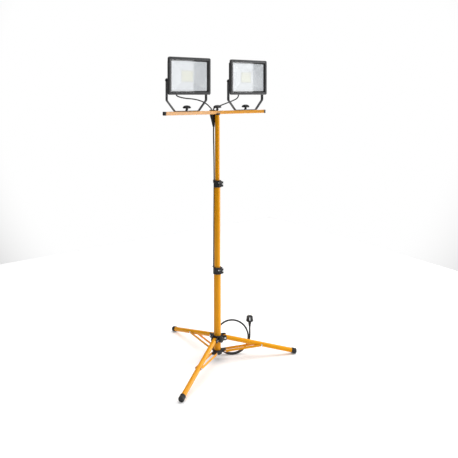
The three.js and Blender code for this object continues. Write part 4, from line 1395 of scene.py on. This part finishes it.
class WORKLIGHT_OT_hubs(Builder, bpy.types.Operator):
    """Sliding leg hub with its bolts and clamp knob, and the fixed brace hub"""

    bl_idname = "worklight.hubs"
    bl_label = "Tripod hubs"

    def build(self, context):
        z0, z1 = LEG_PIVOT_Z - 14, LEG_PIVOT_Z + 16
        radius, bore = LOWER_R + 8, LOWER_R + 0.4
        parts = [
            turned_shape(
                [
                    (radius - 1.4, z0), (radius, z0 + 1.4), (radius, z0 + 6), (radius - 1.2, z0 + 7),
                    (radius - 1.2, z1 - 7), (radius, z1 - 6), (radius, z1 - 1.6), (radius - 1.6, z1),
                    (bore + 0.8, z1), (bore, z1 - 0.8), (bore, z0 + 0.8), (bore + 0.8, z0),
                ],
                64, loop=True,
            ),
        ]
        for angle in LEG_ANGLES.values():
            for side in (-1, 1):
                y0 = EAR_GAP if side > 0 else -EAR_GAP - EAR_THICK
                reach, back = LEG_PIVOT_R + 8, 17.0
                outline = [
                    (back, z0), (reach - 6, z0), (reach - 1.6, z0 + 1.8), (reach, z0 + 6), (reach, z1 - 6),
                    (reach - 1.6, z1 - 1.8), (reach - 6, z1), (back, z1),
                ]
                parts.append(prism(outline, y0, y0 + EAR_THICK, 0.7).turned("Z", angle))
                parts.append(block(17.0, 26.5, y0, y0 + EAR_THICK, z0 + 3, z1 - 3, 0.5).turned("Z", angle))
        for a in (-62.0, -118.0, 30.0, 150.0):
            parts.append(block(radius - 2, radius - 0.1, -1.3, 1.3, z0 + 3, z1 - 3, 0.4).turned("Z", a))
        mid = (z0 + z1) / 2
        boss = turned_shape(
            [(9.0, 0), (9.0, 9.0), (8.2, 9.9), (3.6, 9.9), (3.4, 0)], 40
        ).turned("X", 90).moved(0, -radius + 5.0, mid)
        parts.append(boss)
        pieces = finished("moulded_nylon", parts)
        make_piece("sliding_leg_hub", pieces, "sliding_hub", ["leg_hub"])
        for name, angle in LEG_ANGLES.items():
            bolt = hex_bolt(2 * (EAR_GAP + EAR_THICK), 3.0, 9.6, 2.6, 5.5)
            parts = [
                (p.turned("X", 90).moved(LEG_PIVOT_R, 0, LEG_PIVOT_Z).turned("Z", angle), "zinc_steel")
                for p in bolt
            ]
            make_piece(name + "_pivot_bolt", parts, "sliding_hub", [name + "_leg_bolt"])
        knob = lobed_knob(18.0, 11.0, 7.0, 4.0, 5)
        washer = turned_shape(
            [(8.6, -0.3), (9.2, 0.1), (9.2, 0.9), (8.6, 1.2), (4.0, 1.2), (4.0, -0.3)], 36, loop=True
        )
        stud = rod(3.0, -12.0, 1.0, 24)
        parts = [(knob, "moulded_nylon"), (washer, "zinc_steel"), (stud, "zinc_steel")]
        parts = [(p.turned("X", 90).moved(0, -radius - 5.3, mid), f) for p, f in parts]
        make_piece("hub_clamp_grip", parts, "hub_knob", ["hub_clamp_knob"])

        z0, z1 = BRACE_PIVOT_Z - 16, BRACE_PIVOT_Z + 8
        radius = LOWER_R + 7
        bore = LOWER_R + 0.3
        parts = [
            turned_shape(
                [
                    (radius - 3.0, z0), (radius - 0.8, z0 + 1.2), (radius, z0 + 3.0), (radius, z1 - 1.2),
                    (radius - 1.2, z1), (bore + 0.8, z1), (bore, z1 - 0.8), (bore, z0 + 2.7),
                    (0.02, z0 + 2.7), (0.02, z0),
                ],
                64, loop=True,
            ),
        ]
        pins = []
        for angle in LEG_ANGLES.values():
            outline = [(18.5, BRACE_PIVOT_Z - 7), (LEG_PIVOT_R, BRACE_PIVOT_Z - 7)]
            outline += [
                (LEG_PIVOT_R + 7 * math.sin(math.radians(t)), BRACE_PIVOT_Z - 7 * math.cos(math.radians(t)))
                for t in range(15, 180, 15)
            ]
            outline += [(LEG_PIVOT_R, BRACE_PIVOT_Z + 7), (18.5, BRACE_PIVOT_Z + 7)]
            parts.append(prism(outline, -EAR_GAP + 0.05, EAR_GAP - 0.05, 0.8).turned("Z", angle))
            parts.append(
                block(
                    20.0, LEG_PIVOT_R - 6, -1.5, 1.5, BRACE_PIVOT_Z - 12.5, BRACE_PIVOT_Z - 6, 0.5
                ).turned("Z", angle),
            )
            reach = EAR_GAP + BRACE_THICK + 0.3
            pins.append(
                rod(
                    3.0, -reach - 0.2, reach + 0.2, 20
                ).turned("X", 90).moved(LEG_PIVOT_R, 0, BRACE_PIVOT_Z).turned("Z", angle),
            )
            for side in (-1, 1):
                head = flange_screw(5.0).turned("X", -90 * side).moved(
                    LEG_PIVOT_R, side * reach, BRACE_PIVOT_Z
                )
                pins.append(head.turned("Z", angle))
        pieces = finished("moulded_nylon", parts) + finished("zinc_steel", pins)
        make_piece("fixed_brace_hub", pieces, "tripod_base", ["brace_hub"])


class WORKLIGHT_OT_legs(Builder, bpy.types.Operator):
    """Legs with rubber foot caps, and their pairs of flat brace bars"""

    bl_idname = "worklight.legs"
    bl_label = "Legs and braces"

    def build(self, context):
        for name, angle in LEG_ANGLES.items():
            self.leg(name, angle)
            self.foot(name, angle)
            self.braces(name, angle)

    def placed(self, part, drop, z, angle):
        return part.turned("Y", drop).moved(LEG_PIVOT_R, 0, z).turned("Z", angle)

    def leg(self, name, angle):
        inner, lip, segments = LEG_R - TUBE_WALL, 0.35, 56
        end = LEG_LENGTH - 9.0

        def ring(radius, x, follow):
            made = []
            for k in range(segments):
                a = 2 * math.pi * k / segments
                y, z = radius * math.cos(a), radius * math.sin(a)
                made.append(((x - math.sqrt(max(LEG_R**2 - z * z, 0.0))) if follow else x, y, z))
            return made

        tube = loft(
            [
                ring(inner + lip, 0.0, True), ring(LEG_R - lip, 0.0, True), ring(LEG_R, lip, True),
                ring(LEG_R, 14.0, False), ring(LEG_R, end - lip, False), ring(LEG_R - lip, end, False),
                ring(inner + lip, end, False), ring(inner, end - lip, False), ring(inner, 14.0, False),
                ring(inner, lip, True),
            ],
            loop=True,
        )
        spacers = []
        for side in (-1, 1):
            spacers.append(
                turned_shape(
                    [
                        (6.0, LEG_R - 1.6), (6.2, LEG_R - 1.2), (6.2, LEG_R + 0.55), (5.9, LEG_R + 0.7),
                        (3.3, LEG_R + 0.7), (3.3, LEG_R - 1.6),
                    ],
                    36, loop=True,
                ).turned("X", 90 * side),
            )
        parts = [(tube, "tube_paint")] + finished("moulded_nylon", spacers)
        parts = [(self.placed(p, LEG_DROP, LEG_PIVOT_Z, angle), f) for p, f in parts]
        make_piece(name + "_leg_tube", parts, name + "_leg_arm", [name + "_leg"])

    def foot(self, name, angle):
        mouth, radius = LEG_R + 0.3, FOOT_R
        profile = [(mouth, 0.6), (mouth + 0.5, 0.0), (radius - 1.1, 0.0), (radius - 0.3, 0.5), (radius, 1.6)]
        for z in (4.0, 8.0, 12.0):
            profile += [
                (radius, z - 0.9), (radius - 0.7, z - 0.5), (radius - 0.7, z + 0.5), (radius, z + 0.9)
            ]
        profile += [
            (radius, FOOT_LENGTH - 5.0), (radius - 0.15, FOOT_LENGTH - FOOT_CHAMFER),
            (radius - 0.9, FOOT_LENGTH - 1.0), (radius - FOOT_CHAMFER, FOOT_LENGTH), (7.5, FOOT_LENGTH),
            (7.0, FOOT_LENGTH - 0.8), (0.02, FOOT_LENGTH - 0.8), (0.02, FOOT_LENGTH - 8.5),
            (mouth, FOOT_LENGTH - 8.5),
        ]
        cap = turned_shape(profile, 56, loop=True).turned("Y", 90).moved(LEG_LENGTH - FOOT_LENGTH, 0, 0)
        make_piece(
            name + "_rubber_foot", [(self.placed(cap, LEG_DROP, LEG_PIVOT_Z, angle), "foot_rubber")],
            name + "_leg_arm", [name + "_foot_cap"],
        )

    def braces(self, name, angle):
        half = BRACE_WIDTH / 2
        for side_name, side in (("left", 1), ("right", -1)):
            outline = [
                (half * math.sin(math.radians(t)) * -1, half * math.cos(math.radians(t)))
                for t in range(0, 181, 15)
            ]
            outline += [
                (BRACE_LENGTH + half * math.sin(math.radians(t)), -half * math.cos(math.radians(t)))
                for t in range(0, 181, 15)
            ]
            y0 = EAR_GAP + 0.3 if side > 0 else -EAR_GAP - 0.3 - BRACE_THICK
            bar = prism(outline, y0, y0 + BRACE_THICK, 0.45)
            out_y = y0 + BRACE_THICK if side > 0 else y0
            head = flange_screw(5.2).turned("X", -90 * side).moved(BRACE_LENGTH, out_y, 0)
            collar = rod(4.4, 0, 1.0, 28, 0.2).turned("X", -90 * side).moved(
                BRACE_LENGTH, EAR_GAP * side - 0.8 * side, 0
            )
            parts = [(bar, "tube_paint"), (head, "zinc_steel"), (collar, "zinc_steel")]
            parts = [(self.placed(p, -BRACE_RISE, BRACE_PIVOT_Z, angle), f) for p, f in parts]
            make_piece(
                f"{name}_brace_bar_{side_name}", parts, name + "_brace_arm", [f"{name}_brace_{side_name}"],
            )


class WORKLIGHT_OT_crossbar(Builder, bpy.types.Operator):
    """Square crossbar with its end caps, clamp knobs and cable junction"""

    bl_idname = "worklight.crossbar"
    bl_label = "Crossbar and knobs"

    def build(self, context):
        low, high = span("crossbar")

        def square(size, corner, x):
            return [(x, a, BAR_MID + b) for a, b in rounded_rectangle(size, size, corner, 6)]

        outer, inner = BAR_SIZE, BAR_SIZE - 2 * TUBE_WALL
        x0, x1 = low[0], high[0]
        bar = loft(
            [square(outer, 2.5, x0), square(outer, 2.5, x1), square(inner, 1.5, x1), square(inner, 1.5, x0)],
            loop=True,
        )
        make_piece("square_crossbar", [(bar, "bar_paint")], "mast_head", ["crossbar"])
        for name, side in LAMPS.items():
            end = high[0]
            cap = [
                square(inner - 0.6, 1.5, end - 12), square(inner - 0.6, 1.5, end + 0.3),
                square(20.0, 2.6, end + 0.35), square(20.6, 2.9, end + 0.9), square(20.6, 2.9, end + 2.2),
                square(20.1, 2.7, end + 2.6), square(20.1, 2.7, end + 3.2), square(20.6, 2.9, end + 3.6),
                square(20.6, 2.9, BAR_TIP - 1.2), square(19.6, 2.6, BAR_TIP - 0.3),
                square(18.0, 2.2, BAR_TIP), square(10.0, 2.0, BAR_TIP), square(9.0, 2.0, BAR_TIP - 0.4),
            ]
            part = loft(cap)
            if side < 0:
                part.mirrored()
            make_piece(
                name + "_end_cap", [(part, "moulded_nylon")], "mast_head", [name + "_bar_cap"],
            )
        lobes = self.sizes.knob_lobes
        self.knob(
            "centre_clamp_grip", 0.0, BAR_TOP + 0.3, 15.0, 42.0, lobes, "centre_clamp_knob", "centre_knob"
        )
        for name, side in LAMPS.items():
            self.knob(
                name + "_clamp_grip", side * LAMP_X, BAR_TOP + 3.6, 12.0, 18.0, lobes, name + "_clamp_knob",
                name + "_yoke_knob",
            )
        self.junction()

    def knob(self, name, x, z, stem, stud, lobes, body, node):
        knob = lobed_knob(24.0, 17.0, 6.0, stem, lobes)
        washer = turned_shape(
            [(8.6, 0.0), (9.6, 0.2), (9.6, 1.3), (9.0, 1.6), (4.0, 1.6), (4.0, 0.0)], 40, loop=True
        )
        screw = rod(3.0, -stud, 1.0, 24)
        parts = [(knob, "moulded_nylon"), (washer, "zinc_steel"), (screw, "zinc_steel")]
        make_piece(name, [(p.moved(x, 0, z), f) for p, f in parts], body, [node])

    def junction(self):
        top, foot = JUNCTION_HIGH[2], JUNCTION_LOW[2]
        x0, x1, y0, y1 = JUNCTION_LOW[0], JUNCTION_HIGH[0], UPPER_R + 3.3, JUNCTION_HIGH[1]
        cx, cy = -UPPER_R - 0.5, UPPER_R + 3
        rings = []
        steps = 6

        def box_ring(inset, z):
            w, d = x1 - x0 - 2 * inset, y1 - y0 - 2 * inset
            return [((x0 + x1) / 2 + a, (y0 + y1) / 2 + b, z) for a, b in rounded_rectangle(w, d, 3.2, steps)]

        flat = rounded_rectangle(11.8, 11.8, 5.85, steps)
        rings.append(box_ring(1.4, top))
        rings.append(box_ring(0.4, top - 0.8))
        rings.append(box_ring(0.0, top - 2.4))
        rings.append(box_ring(0.0, top - 20.8))
        for k in range(1, 11):
            t = k / 10
            z = top - 20.8 + (foot - top + 20.8) * t
            wide = box_ring(0.0, z)
            ring = []
            for p, (a, b) in zip(wide, flat):
                ring.append((p[0] + (cx + a - p[0]) * t, p[1] + (cy + b - p[1]) * t, z))
            pinch = 0.94 if 4 <= k <= 9 and k % 2 else 1.0
            mx = sum(p[0] for p in ring) / len(ring)
            my = sum(p[1] for p in ring) / len(ring)
            rings.append([(mx + (p[0] - mx) * pinch, my + (p[1] - my) * pinch, p[2]) for p in ring])
        shell = loft(rings)
        lid = block(x0 + 3, x1 - 3, y1 - 0.6, y1 - 0.02, top - 19, top - 3, 0.25)
        collars = [
            turned_shape(
                [(5.6, 0), (5.6, 1.6), (5.0, 2.2), (3.6, 2.2), (3.6, 0)], 32, loop=True
            ).moved(x, y, top - 2.2)
            for x, y in ((-26, 23.5), (-10, 25))
        ]
        screws = [flange_screw(2.6).turned("X", -90).moved(x, y1 - 2.1, top - 11) for x in (x0 + 7, x1 - 7)]
        parts = finished("moulded_nylon", [shell, lid, *collars]) + finished("zinc_steel", screws)
        make_piece("moulded_junction", parts, "mast_head", ["cable_junction"])


class WORKLIGHT_OT_brackets(Builder, bpy.types.Operator):
    """Strap brackets that carry the lamps, with their pivot screws"""

    bl_idname = "worklight.brackets"
    bl_label = "Lamp brackets"

    def build(self, context):
        for name, side in LAMPS.items():
            centre = side * LAMP_X
            make_piece(
                name + "_strap_bracket", [(self.strap().moved(centre, 0, 0), "strap_paint")],
                name + "_bracket", [name + "_yoke"],
            )
            for bolt, s in LAMPS.items():
                outer = YOKE_ARM + YOKE_THICK / 2
                screw = [
                    (button_screw(8.0, 4.9, 3.0).moved(0, 0, outer + 1.1), "black_steel"),
                    (
                        turned_shape(
                            [
                                (8.6, outer + 0.05), (9.0, outer + 0.3), (9.0, outer + 0.9),
                                (8.6, outer + 1.15), (4.2, outer + 1.15), (4.2, outer + 0.05),
                            ],
                            40, loop=True,
                        ),
                        "zinc_steel",
                    ),
                    (rod(4.0, HOUSING_W / 2 - 4, outer + 1.2, 24), "zinc_steel"),
                ]
                parts = [(p.turned("Y", 90 * s).moved(centre, 0, PIVOT_Z), f) for p, f in screw]
                make_piece(
                    f"{name}_pivot_screw_{bolt}", parts, name + "_bracket", [f"{name}_pivot_{bolt}"],
                )

    def strap(self):
        base_z = BAR_TOP + 0.3 + YOKE_THICK / 2
        tip = PIVOT_Z + YOKE_WIDTH / 2
        corners = [
            (-YOKE_ARM, tip), (-YOKE_ARM, YOKE_BEND_Z), (-YOKE_BASE, base_z), (YOKE_BASE, base_z),
            (YOKE_ARM, YOKE_BEND_Z), (YOKE_ARM, tip),
        ]
        path = [Vector((x, 0, z)) for x, z in self.filleted(corners, 7.0)]
        tip_half = YOKE_WIDTH / 2
        dense = []
        for k in range(9):
            dense.append(Vector((-YOKE_ARM, 0, tip - 0.12 - tip_half * (1 - math.cos(math.radians(10 * k))))))
        dense += [p for p in path if p.z < PIVOT_Z - 1]
        for k in range(8, -1, -1):
            dense.append(Vector((YOKE_ARM, 0, tip - 0.12 - tip_half * (1 - math.cos(math.radians(10 * k))))))
        rings = []
        for k, p in enumerate(dense):
            before, after = dense[max(k - 1, 0)], dense[min(k + 1, len(dense) - 1)]
            along = (after - before).normalized()
            out = Vector((along.z, 0, -along.x))
            above = p.z - PIVOT_Z
            half = math.sqrt(max(tip_half**2 - above**2, 1.4**2)) if above > 0 else tip_half
            t, e = YOKE_THICK / 2, 0.55
            ring = []
            for y, w in (
                (half, t - e), (half - e * 0.3, t - e * 0.3), (half - e, t), (-half + e, t),
                (-half + e * 0.3, t - e * 0.3), (-half, t - e), (-half, -t + e),
                (-half + e * 0.3, -t + e * 0.3), (-half + e, -t), (half - e, -t),
                (half - e * 0.3, -t + e * 0.3), (half, -t + e),
            ):
                ring.append(p + Vector((0, y, 0)) + out * w)
            rings.append(ring)
        return loft(rings)

    def filleted(self, corners, radius):
        points = [corners[0]]
        for before, at, after in zip(corners, corners[1:], corners[2:]):
            a, b, c = Vector(before), Vector(at), Vector(after)
            u, v = (a - b).normalized(), (c - b).normalized()
            half = u.angle(v) / 2
            cut = radius / math.tan(half)
            centre = b + (u + v).normalized() * (radius / math.sin(half))
            start, end = b + u * cut, b + v * cut
            for k in range(7):
                arm = (start - centre).lerp(end - centre, k / 6).normalized() * radius
                points.append(tuple(centre + arm))
        return [*points, corners[-1]]


class WORKLIGHT_OT_lamp_bodies(Builder, bpy.types.Operator):
    """Die-cast housings with fins, front frames, seals and glands"""

    bl_idname = "worklight.lamp_bodies"
    bl_label = "Lamp bodies"

    def build(self, context):
        for name, side in LAMPS.items():
            centre, body = side * LAMP_X, name + "_lamp"
            make_piece(
                name + "_lamp_casting", self.housing(centre), body, [name + "_housing"]
            )
            make_piece(name + "_front_frame", self.frame(centre), body, [name + "_bezel"])
            make_piece(name + "_cable_gland", self.gland(centre), body, [name + "_gland"])

    def frame(self, centre):
        f, b = LAMP_FRONT, BEZEL_BACK
        w, h = LAMP_W, LAMP_H
        section = [
            (0.0, 9.0, b), (0.0, 9.0, f + 3.0), (0.5, 8.6, f + 1.4), (1.6, 7.8, f + 0.4), (2.9, 7.0, f),
            (5.0, 6.0, f), (5.7, 5.6, f + 0.9), (7.6, 5.0, f + 1.0), (8.3, 4.8, f + 0.15),
            (9.6, 4.4, f + 0.2), (13.2, 3.6, f + 1.2), (14.6, 3.2, f + 1.9), (15.0, 3.0, f + 2.4),
            (15.0, 3.0, GLASS_FRONT - 0.1), (10.2, 4.0, GLASS_FRONT - 0.1), (10.0, 4.0, GLASS_FRONT + 0.2),
            (10.0, 4.0, b - 0.6), (9.4, 4.4, b),
        ]
        ring = loft(
            [lamp_ring(w - 2 * inset, h - 2 * inset, corner, y, 7) for inset, corner, y in section],
            loop=True,
        )
        parts = [(ring, "casting_paint")]
        for sx in (-1, 1):
            for sz in (-1, 1):
                x, z = sx * (w / 2 - 22.0), LAMP_MID + sz * (h / 2 - 5.0)
                parts.append((flange_screw(2.7).turned("X", -90).moved(x, b - 2.0, z), "zinc_steel"))
        for sz in (-1, 1):
            parts.append(
                (
                    flange_screw(2.7).turned("X", -90).moved(0, b - 2.0, LAMP_MID + sz * (h / 2 - 5.0)),
                    "zinc_steel",
                ),
            )
        return [(p.moved(centre, 0, 0), fin) for p, fin in parts]

    def housing(self, centre):
        rim = RIM
        pocket_w, pocket_h = POCKET_W, POCKET_H
        cw, ch = CAVITY_W, CAVITY_H
        hw, hh, back = HOUSING_W, HOUSING_H, HOUSING_BACK
        section = [
            (cw, ch, 3.0, CAVITY_BACK), (cw, ch, 3.0, rim + 0.5), (cw + 1, ch + 1, 3.4, rim),
            (pocket_w - 1, pocket_h - 1, 3.8, rim), (pocket_w, pocket_h, 4.0, rim + 0.5),
            (pocket_w, pocket_h, 4.0, rim + 8.4), (pocket_w - 1.4, pocket_h - 1.4, 4.0, rim + 9.0),
            (hw + 2.4, hh + 2.4, 9.0, rim + 9.0), (hw + 0.6, hh + 0.6, 8.4, rim + 9.8),
            (hw, hh, 8.0, rim + 11.6), (hw, hh, 8.0, back - 7.0), (hw - 1.2, hh - 1.2, 7.6, back - 3.4),
            (hw - 4.4, hh - 4.4, 7.0, back - 0.9), (hw - 9.0, hh - 9.0, 6.0, back),
        ]
        parts = [loft([lamp_ring(w, h, corner, y, 7) for w, h, corner, y in section])]
        count = self.sizes.fin_count
        low_z, high_z = HOUSING_FOOT + 55, LAMP_MID + hh / 2 - 9
        for k in range(count):
            x = (k - (count - 1) / 2) * (hw - 30) / (count - 1)
            fin = [
                (low_z, back - 1.0), (low_z + 1.0, back + 2.0), (low_z + 6.0, back + 8.0),
                (high_z - 6.0, back + 8.0), (high_z - 1.0, back + 2.0), (high_z, back - 1.0),
            ]
            rings = [[(x + s * half, y, z) for z, y in fin] for s, half in ((-1, 1.5), (1, 1.5))]
            parts.append(loft(rings).rounded(0.6, 2))
        boss_z = HOUSING_FOOT + 26
        parts.append(block(GLAND_DX - 13, GLAND_DX + 13, back - 1, GLAND_Y + 10, boss_z, boss_z + 22, 2.2, 3))
        plate = prism(
            rounded_rectangle(118.0, 44.0, 5.0), back - 1.0, back + 2.6, 0.7
        ).moved(24.0, 0, HOUSING_FOOT + 29)
        parts.append(plate)
        for s in (-1, 1):
            cone = turned_shape(
                [
                    (11.5, hw / 2 - 3), (9.6, hw / 2 + 0.4), (9.0, hw / 2 + 1.6),
                    (9.0, YOKE_ARM - YOKE_THICK / 2 - 0.8), (8.6, YOKE_ARM - YOKE_THICK / 2 - 0.3),
                    (4.6, YOKE_ARM - YOKE_THICK / 2 - 0.3),
                ],
                40,
            )
            parts.append(cone.turned("Y", 90 * s).moved(0, 0, PIVOT_Z))
        pieces = finished("casting_paint", parts)
        for sx in (-1, 1):
            for sz in (-1, 1):
                pieces.append(
                    (
                        flange_screw(2.6).turned("X", -90).moved(
                            24 + sx * 52, back + 2.4, HOUSING_FOOT + 29 + sz * 16
                        ),
                        "zinc_steel",
                    ),
                )
        seal = [
            lamp_ring(pocket_w - i, pocket_h - i, 3.6, y, 7)
            for i, y in ((0.6, rim - 0.25), (0.6, rim + 0.1), (11.0, rim + 0.1), (11.0, rim - 0.25))
        ]
        pieces.append((loft(seal, loop=True), "silicone_seal"))
        return [(p.moved(centre, 0, 0), fin) for p, fin in pieces]

    def gland(self, centre):
        boss_z = HOUSING_FOOT + 26
        hexes = [hexagon(15.4, boss_z - 5.4, boss_z - 0.3), hexagon(14.0, boss_z - 12.0, boss_z - 6.6)]
        neck = turned_shape(
            [(6.6, boss_z - 7.2), (6.6, boss_z - 5.0), (4.4, boss_z - 5.0), (4.4, boss_z - 7.2)], 32,
            loop=True,
        )
        nose = [(4.3, boss_z - 12.4), (7.2, boss_z - 12.2), (7.0, boss_z - 13.4)]
        for k in range(3):
            z = boss_z - 14.2 - 1.9 * k
            nose += [
                (6.8 - 0.4 * k, z), (6.0 - 0.4 * k, z - 0.4), (6.0 - 0.4 * k, z - 1.0),
                (6.6 - 0.4 * k, z - 1.4),
            ]
        nose += [(5.3, boss_z - 19.8), (4.2, boss_z - 20.0)]
        parts = finished("moulded_nylon", [*hexes, neck, turned_shape(nose, 36, loop=True)])
        return [(p.moved(centre + GLAND_DX, GLAND_Y, 0), f) for p, f in parts]


class WORKLIGHT_OT_lamp_optics(Builder, bpy.types.Operator):
    """Glass, reflector trays and light boards"""

    bl_idname = "worklight.lamp_optics"
    bl_label = "Lamp optics"

    def build(self, context):
        for name, side in LAMPS.items():
            centre, body = side * LAMP_X, name + "_lamp"
            make_piece(
                name + "_glass_sheet", [(self.glass().moved(centre, 0, 0), "lamp_glass")], body,
                [name + "_glass"],
            )
            make_piece(
                name + "_reflector_tray", [(p.moved(centre, 0, 0), "reflector_satin") for p in self.tray()],
                body, [name + "_reflector"],
            )
            make_piece(
                name + "_light_board", [(p.moved(centre, 0, 0), f) for p, f in self.board()], body,
                [name + "_led_board"],
            )

    def glass(self):
        section = (
            (1.2, 3.6, GLASS_FRONT), (0.0, 4.0, GLASS_FRONT + 0.6), (0.0, 4.0, GLASS_BACK - 0.6),
            (1.2, 3.6, GLASS_BACK),
        )
        return loft([lamp_ring(POCKET_W - i, POCKET_H - i, c, y, 7) for i, c, y in section])

    def tray(self):
        cw, ch = CAVITY_W, CAVITY_H
        front, back = RIM + 0.5, BOARD_FRONT - 0.3
        rings = [
            (cw - 3, ch - 3, 2.0, front), (cw - 8, ch - 8, 1.6, front + 0.1),
            (LED_W + 26, LED_H + 26, 1.2, back - 2.2), (LED_W - 2, LED_H - 2, 0.8, back - 0.4),
            (LED_W - 2, LED_H - 2, 0.8, back), (LED_W + 4, LED_H + 4, 1.0, back),
            (LED_W + 30, LED_H + 30, 1.4, back - 1.0), (cw - 4, ch - 4, 1.8, front + 2.0),
            (cw - 3, ch - 3, 2.0, front + 1.4),
        ]
        return [loft([lamp_ring(w, h, c, y, 3) for w, h, c, y in rings], loop=True)]

    def board(self):
        board = BOARD_FRONT
        plate = prism(
            rounded_rectangle(LED_W + 6, LED_H + 6, 2.0), board, board + 2.0, 0.3
        ).moved(0, 0, LAMP_MID)
        parts = [(plate, "board_white")]
        columns, rows = self.sizes.led_columns, self.sizes.led_rows
        pitch_x, pitch_z = (LED_W - 6) / columns, (LED_H - 6) / rows
        for i in range(columns):
            for k in range(rows):
                x = (i - (columns - 1) / 2) * pitch_x
                z = LAMP_MID + (k - (rows - 1) / 2) * pitch_z
                gel = prism(
                    rounded_rectangle(pitch_x - 1.4, pitch_z - 0.7, 1.2, 3), board - 1.1, board + 0.2, 0.35
                ).moved(x, 0, z)
                parts.append((gel, "emitter_gel"))
        return parts


class WORKLIGHT_PT_panel(bpy.types.Panel):
    """Sizes, colours and building steps of the work light"""

    bl_label = "Work light"
    bl_idname = "WORKLIGHT_PT_panel"
    bl_space_type = "VIEW_3D"
    bl_region_type = "UI"
    bl_category = "Work light"

    def draw(self, context):
        layout = self.layout
        for group in (context.scene.worklight_sizes, context.scene.worklight_colours):
            box = layout.box()
            for key in group.__annotations__:
                box.prop(group, key)
        for operator in OPERATORS:
            layout.operator(operator.bl_idname)


OPERATORS = (
    WORKLIGHT_OT_stage,
    WORKLIGHT_OT_free_cord,
    WORKLIGHT_OT_mast_cable,
    WORKLIGHT_OT_lamp_leads,
    WORKLIGHT_OT_mast_tubes,
    WORKLIGHT_OT_collars,
    WORKLIGHT_OT_hubs,
    WORKLIGHT_OT_legs,
    WORKLIGHT_OT_crossbar,
    WORKLIGHT_OT_brackets,
    WORKLIGHT_OT_lamp_bodies,
    WORKLIGHT_OT_lamp_optics,
)
CLASSES = (WorkLightSizes, WorkLightColours, *OPERATORS, WORKLIGHT_PT_panel)


def register():
    for cls in CLASSES:
        bpy.utils.register_class(cls)
    bpy.types.Scene.worklight_sizes = PointerProperty(type=WorkLightSizes)
    bpy.types.Scene.worklight_colours = PointerProperty(type=WorkLightColours)


def unregister():
    del bpy.types.Scene.worklight_colours
    del bpy.types.Scene.worklight_sizes
    for cls in reversed(CLASSES):
        bpy.utils.unregister_class(cls)


def main():
    register()
    for operator in OPERATORS:
        group, name = operator.bl_idname.split(".")
        getattr(getattr(bpy.ops, group), name)()


if __name__ == "__main__":
    main()
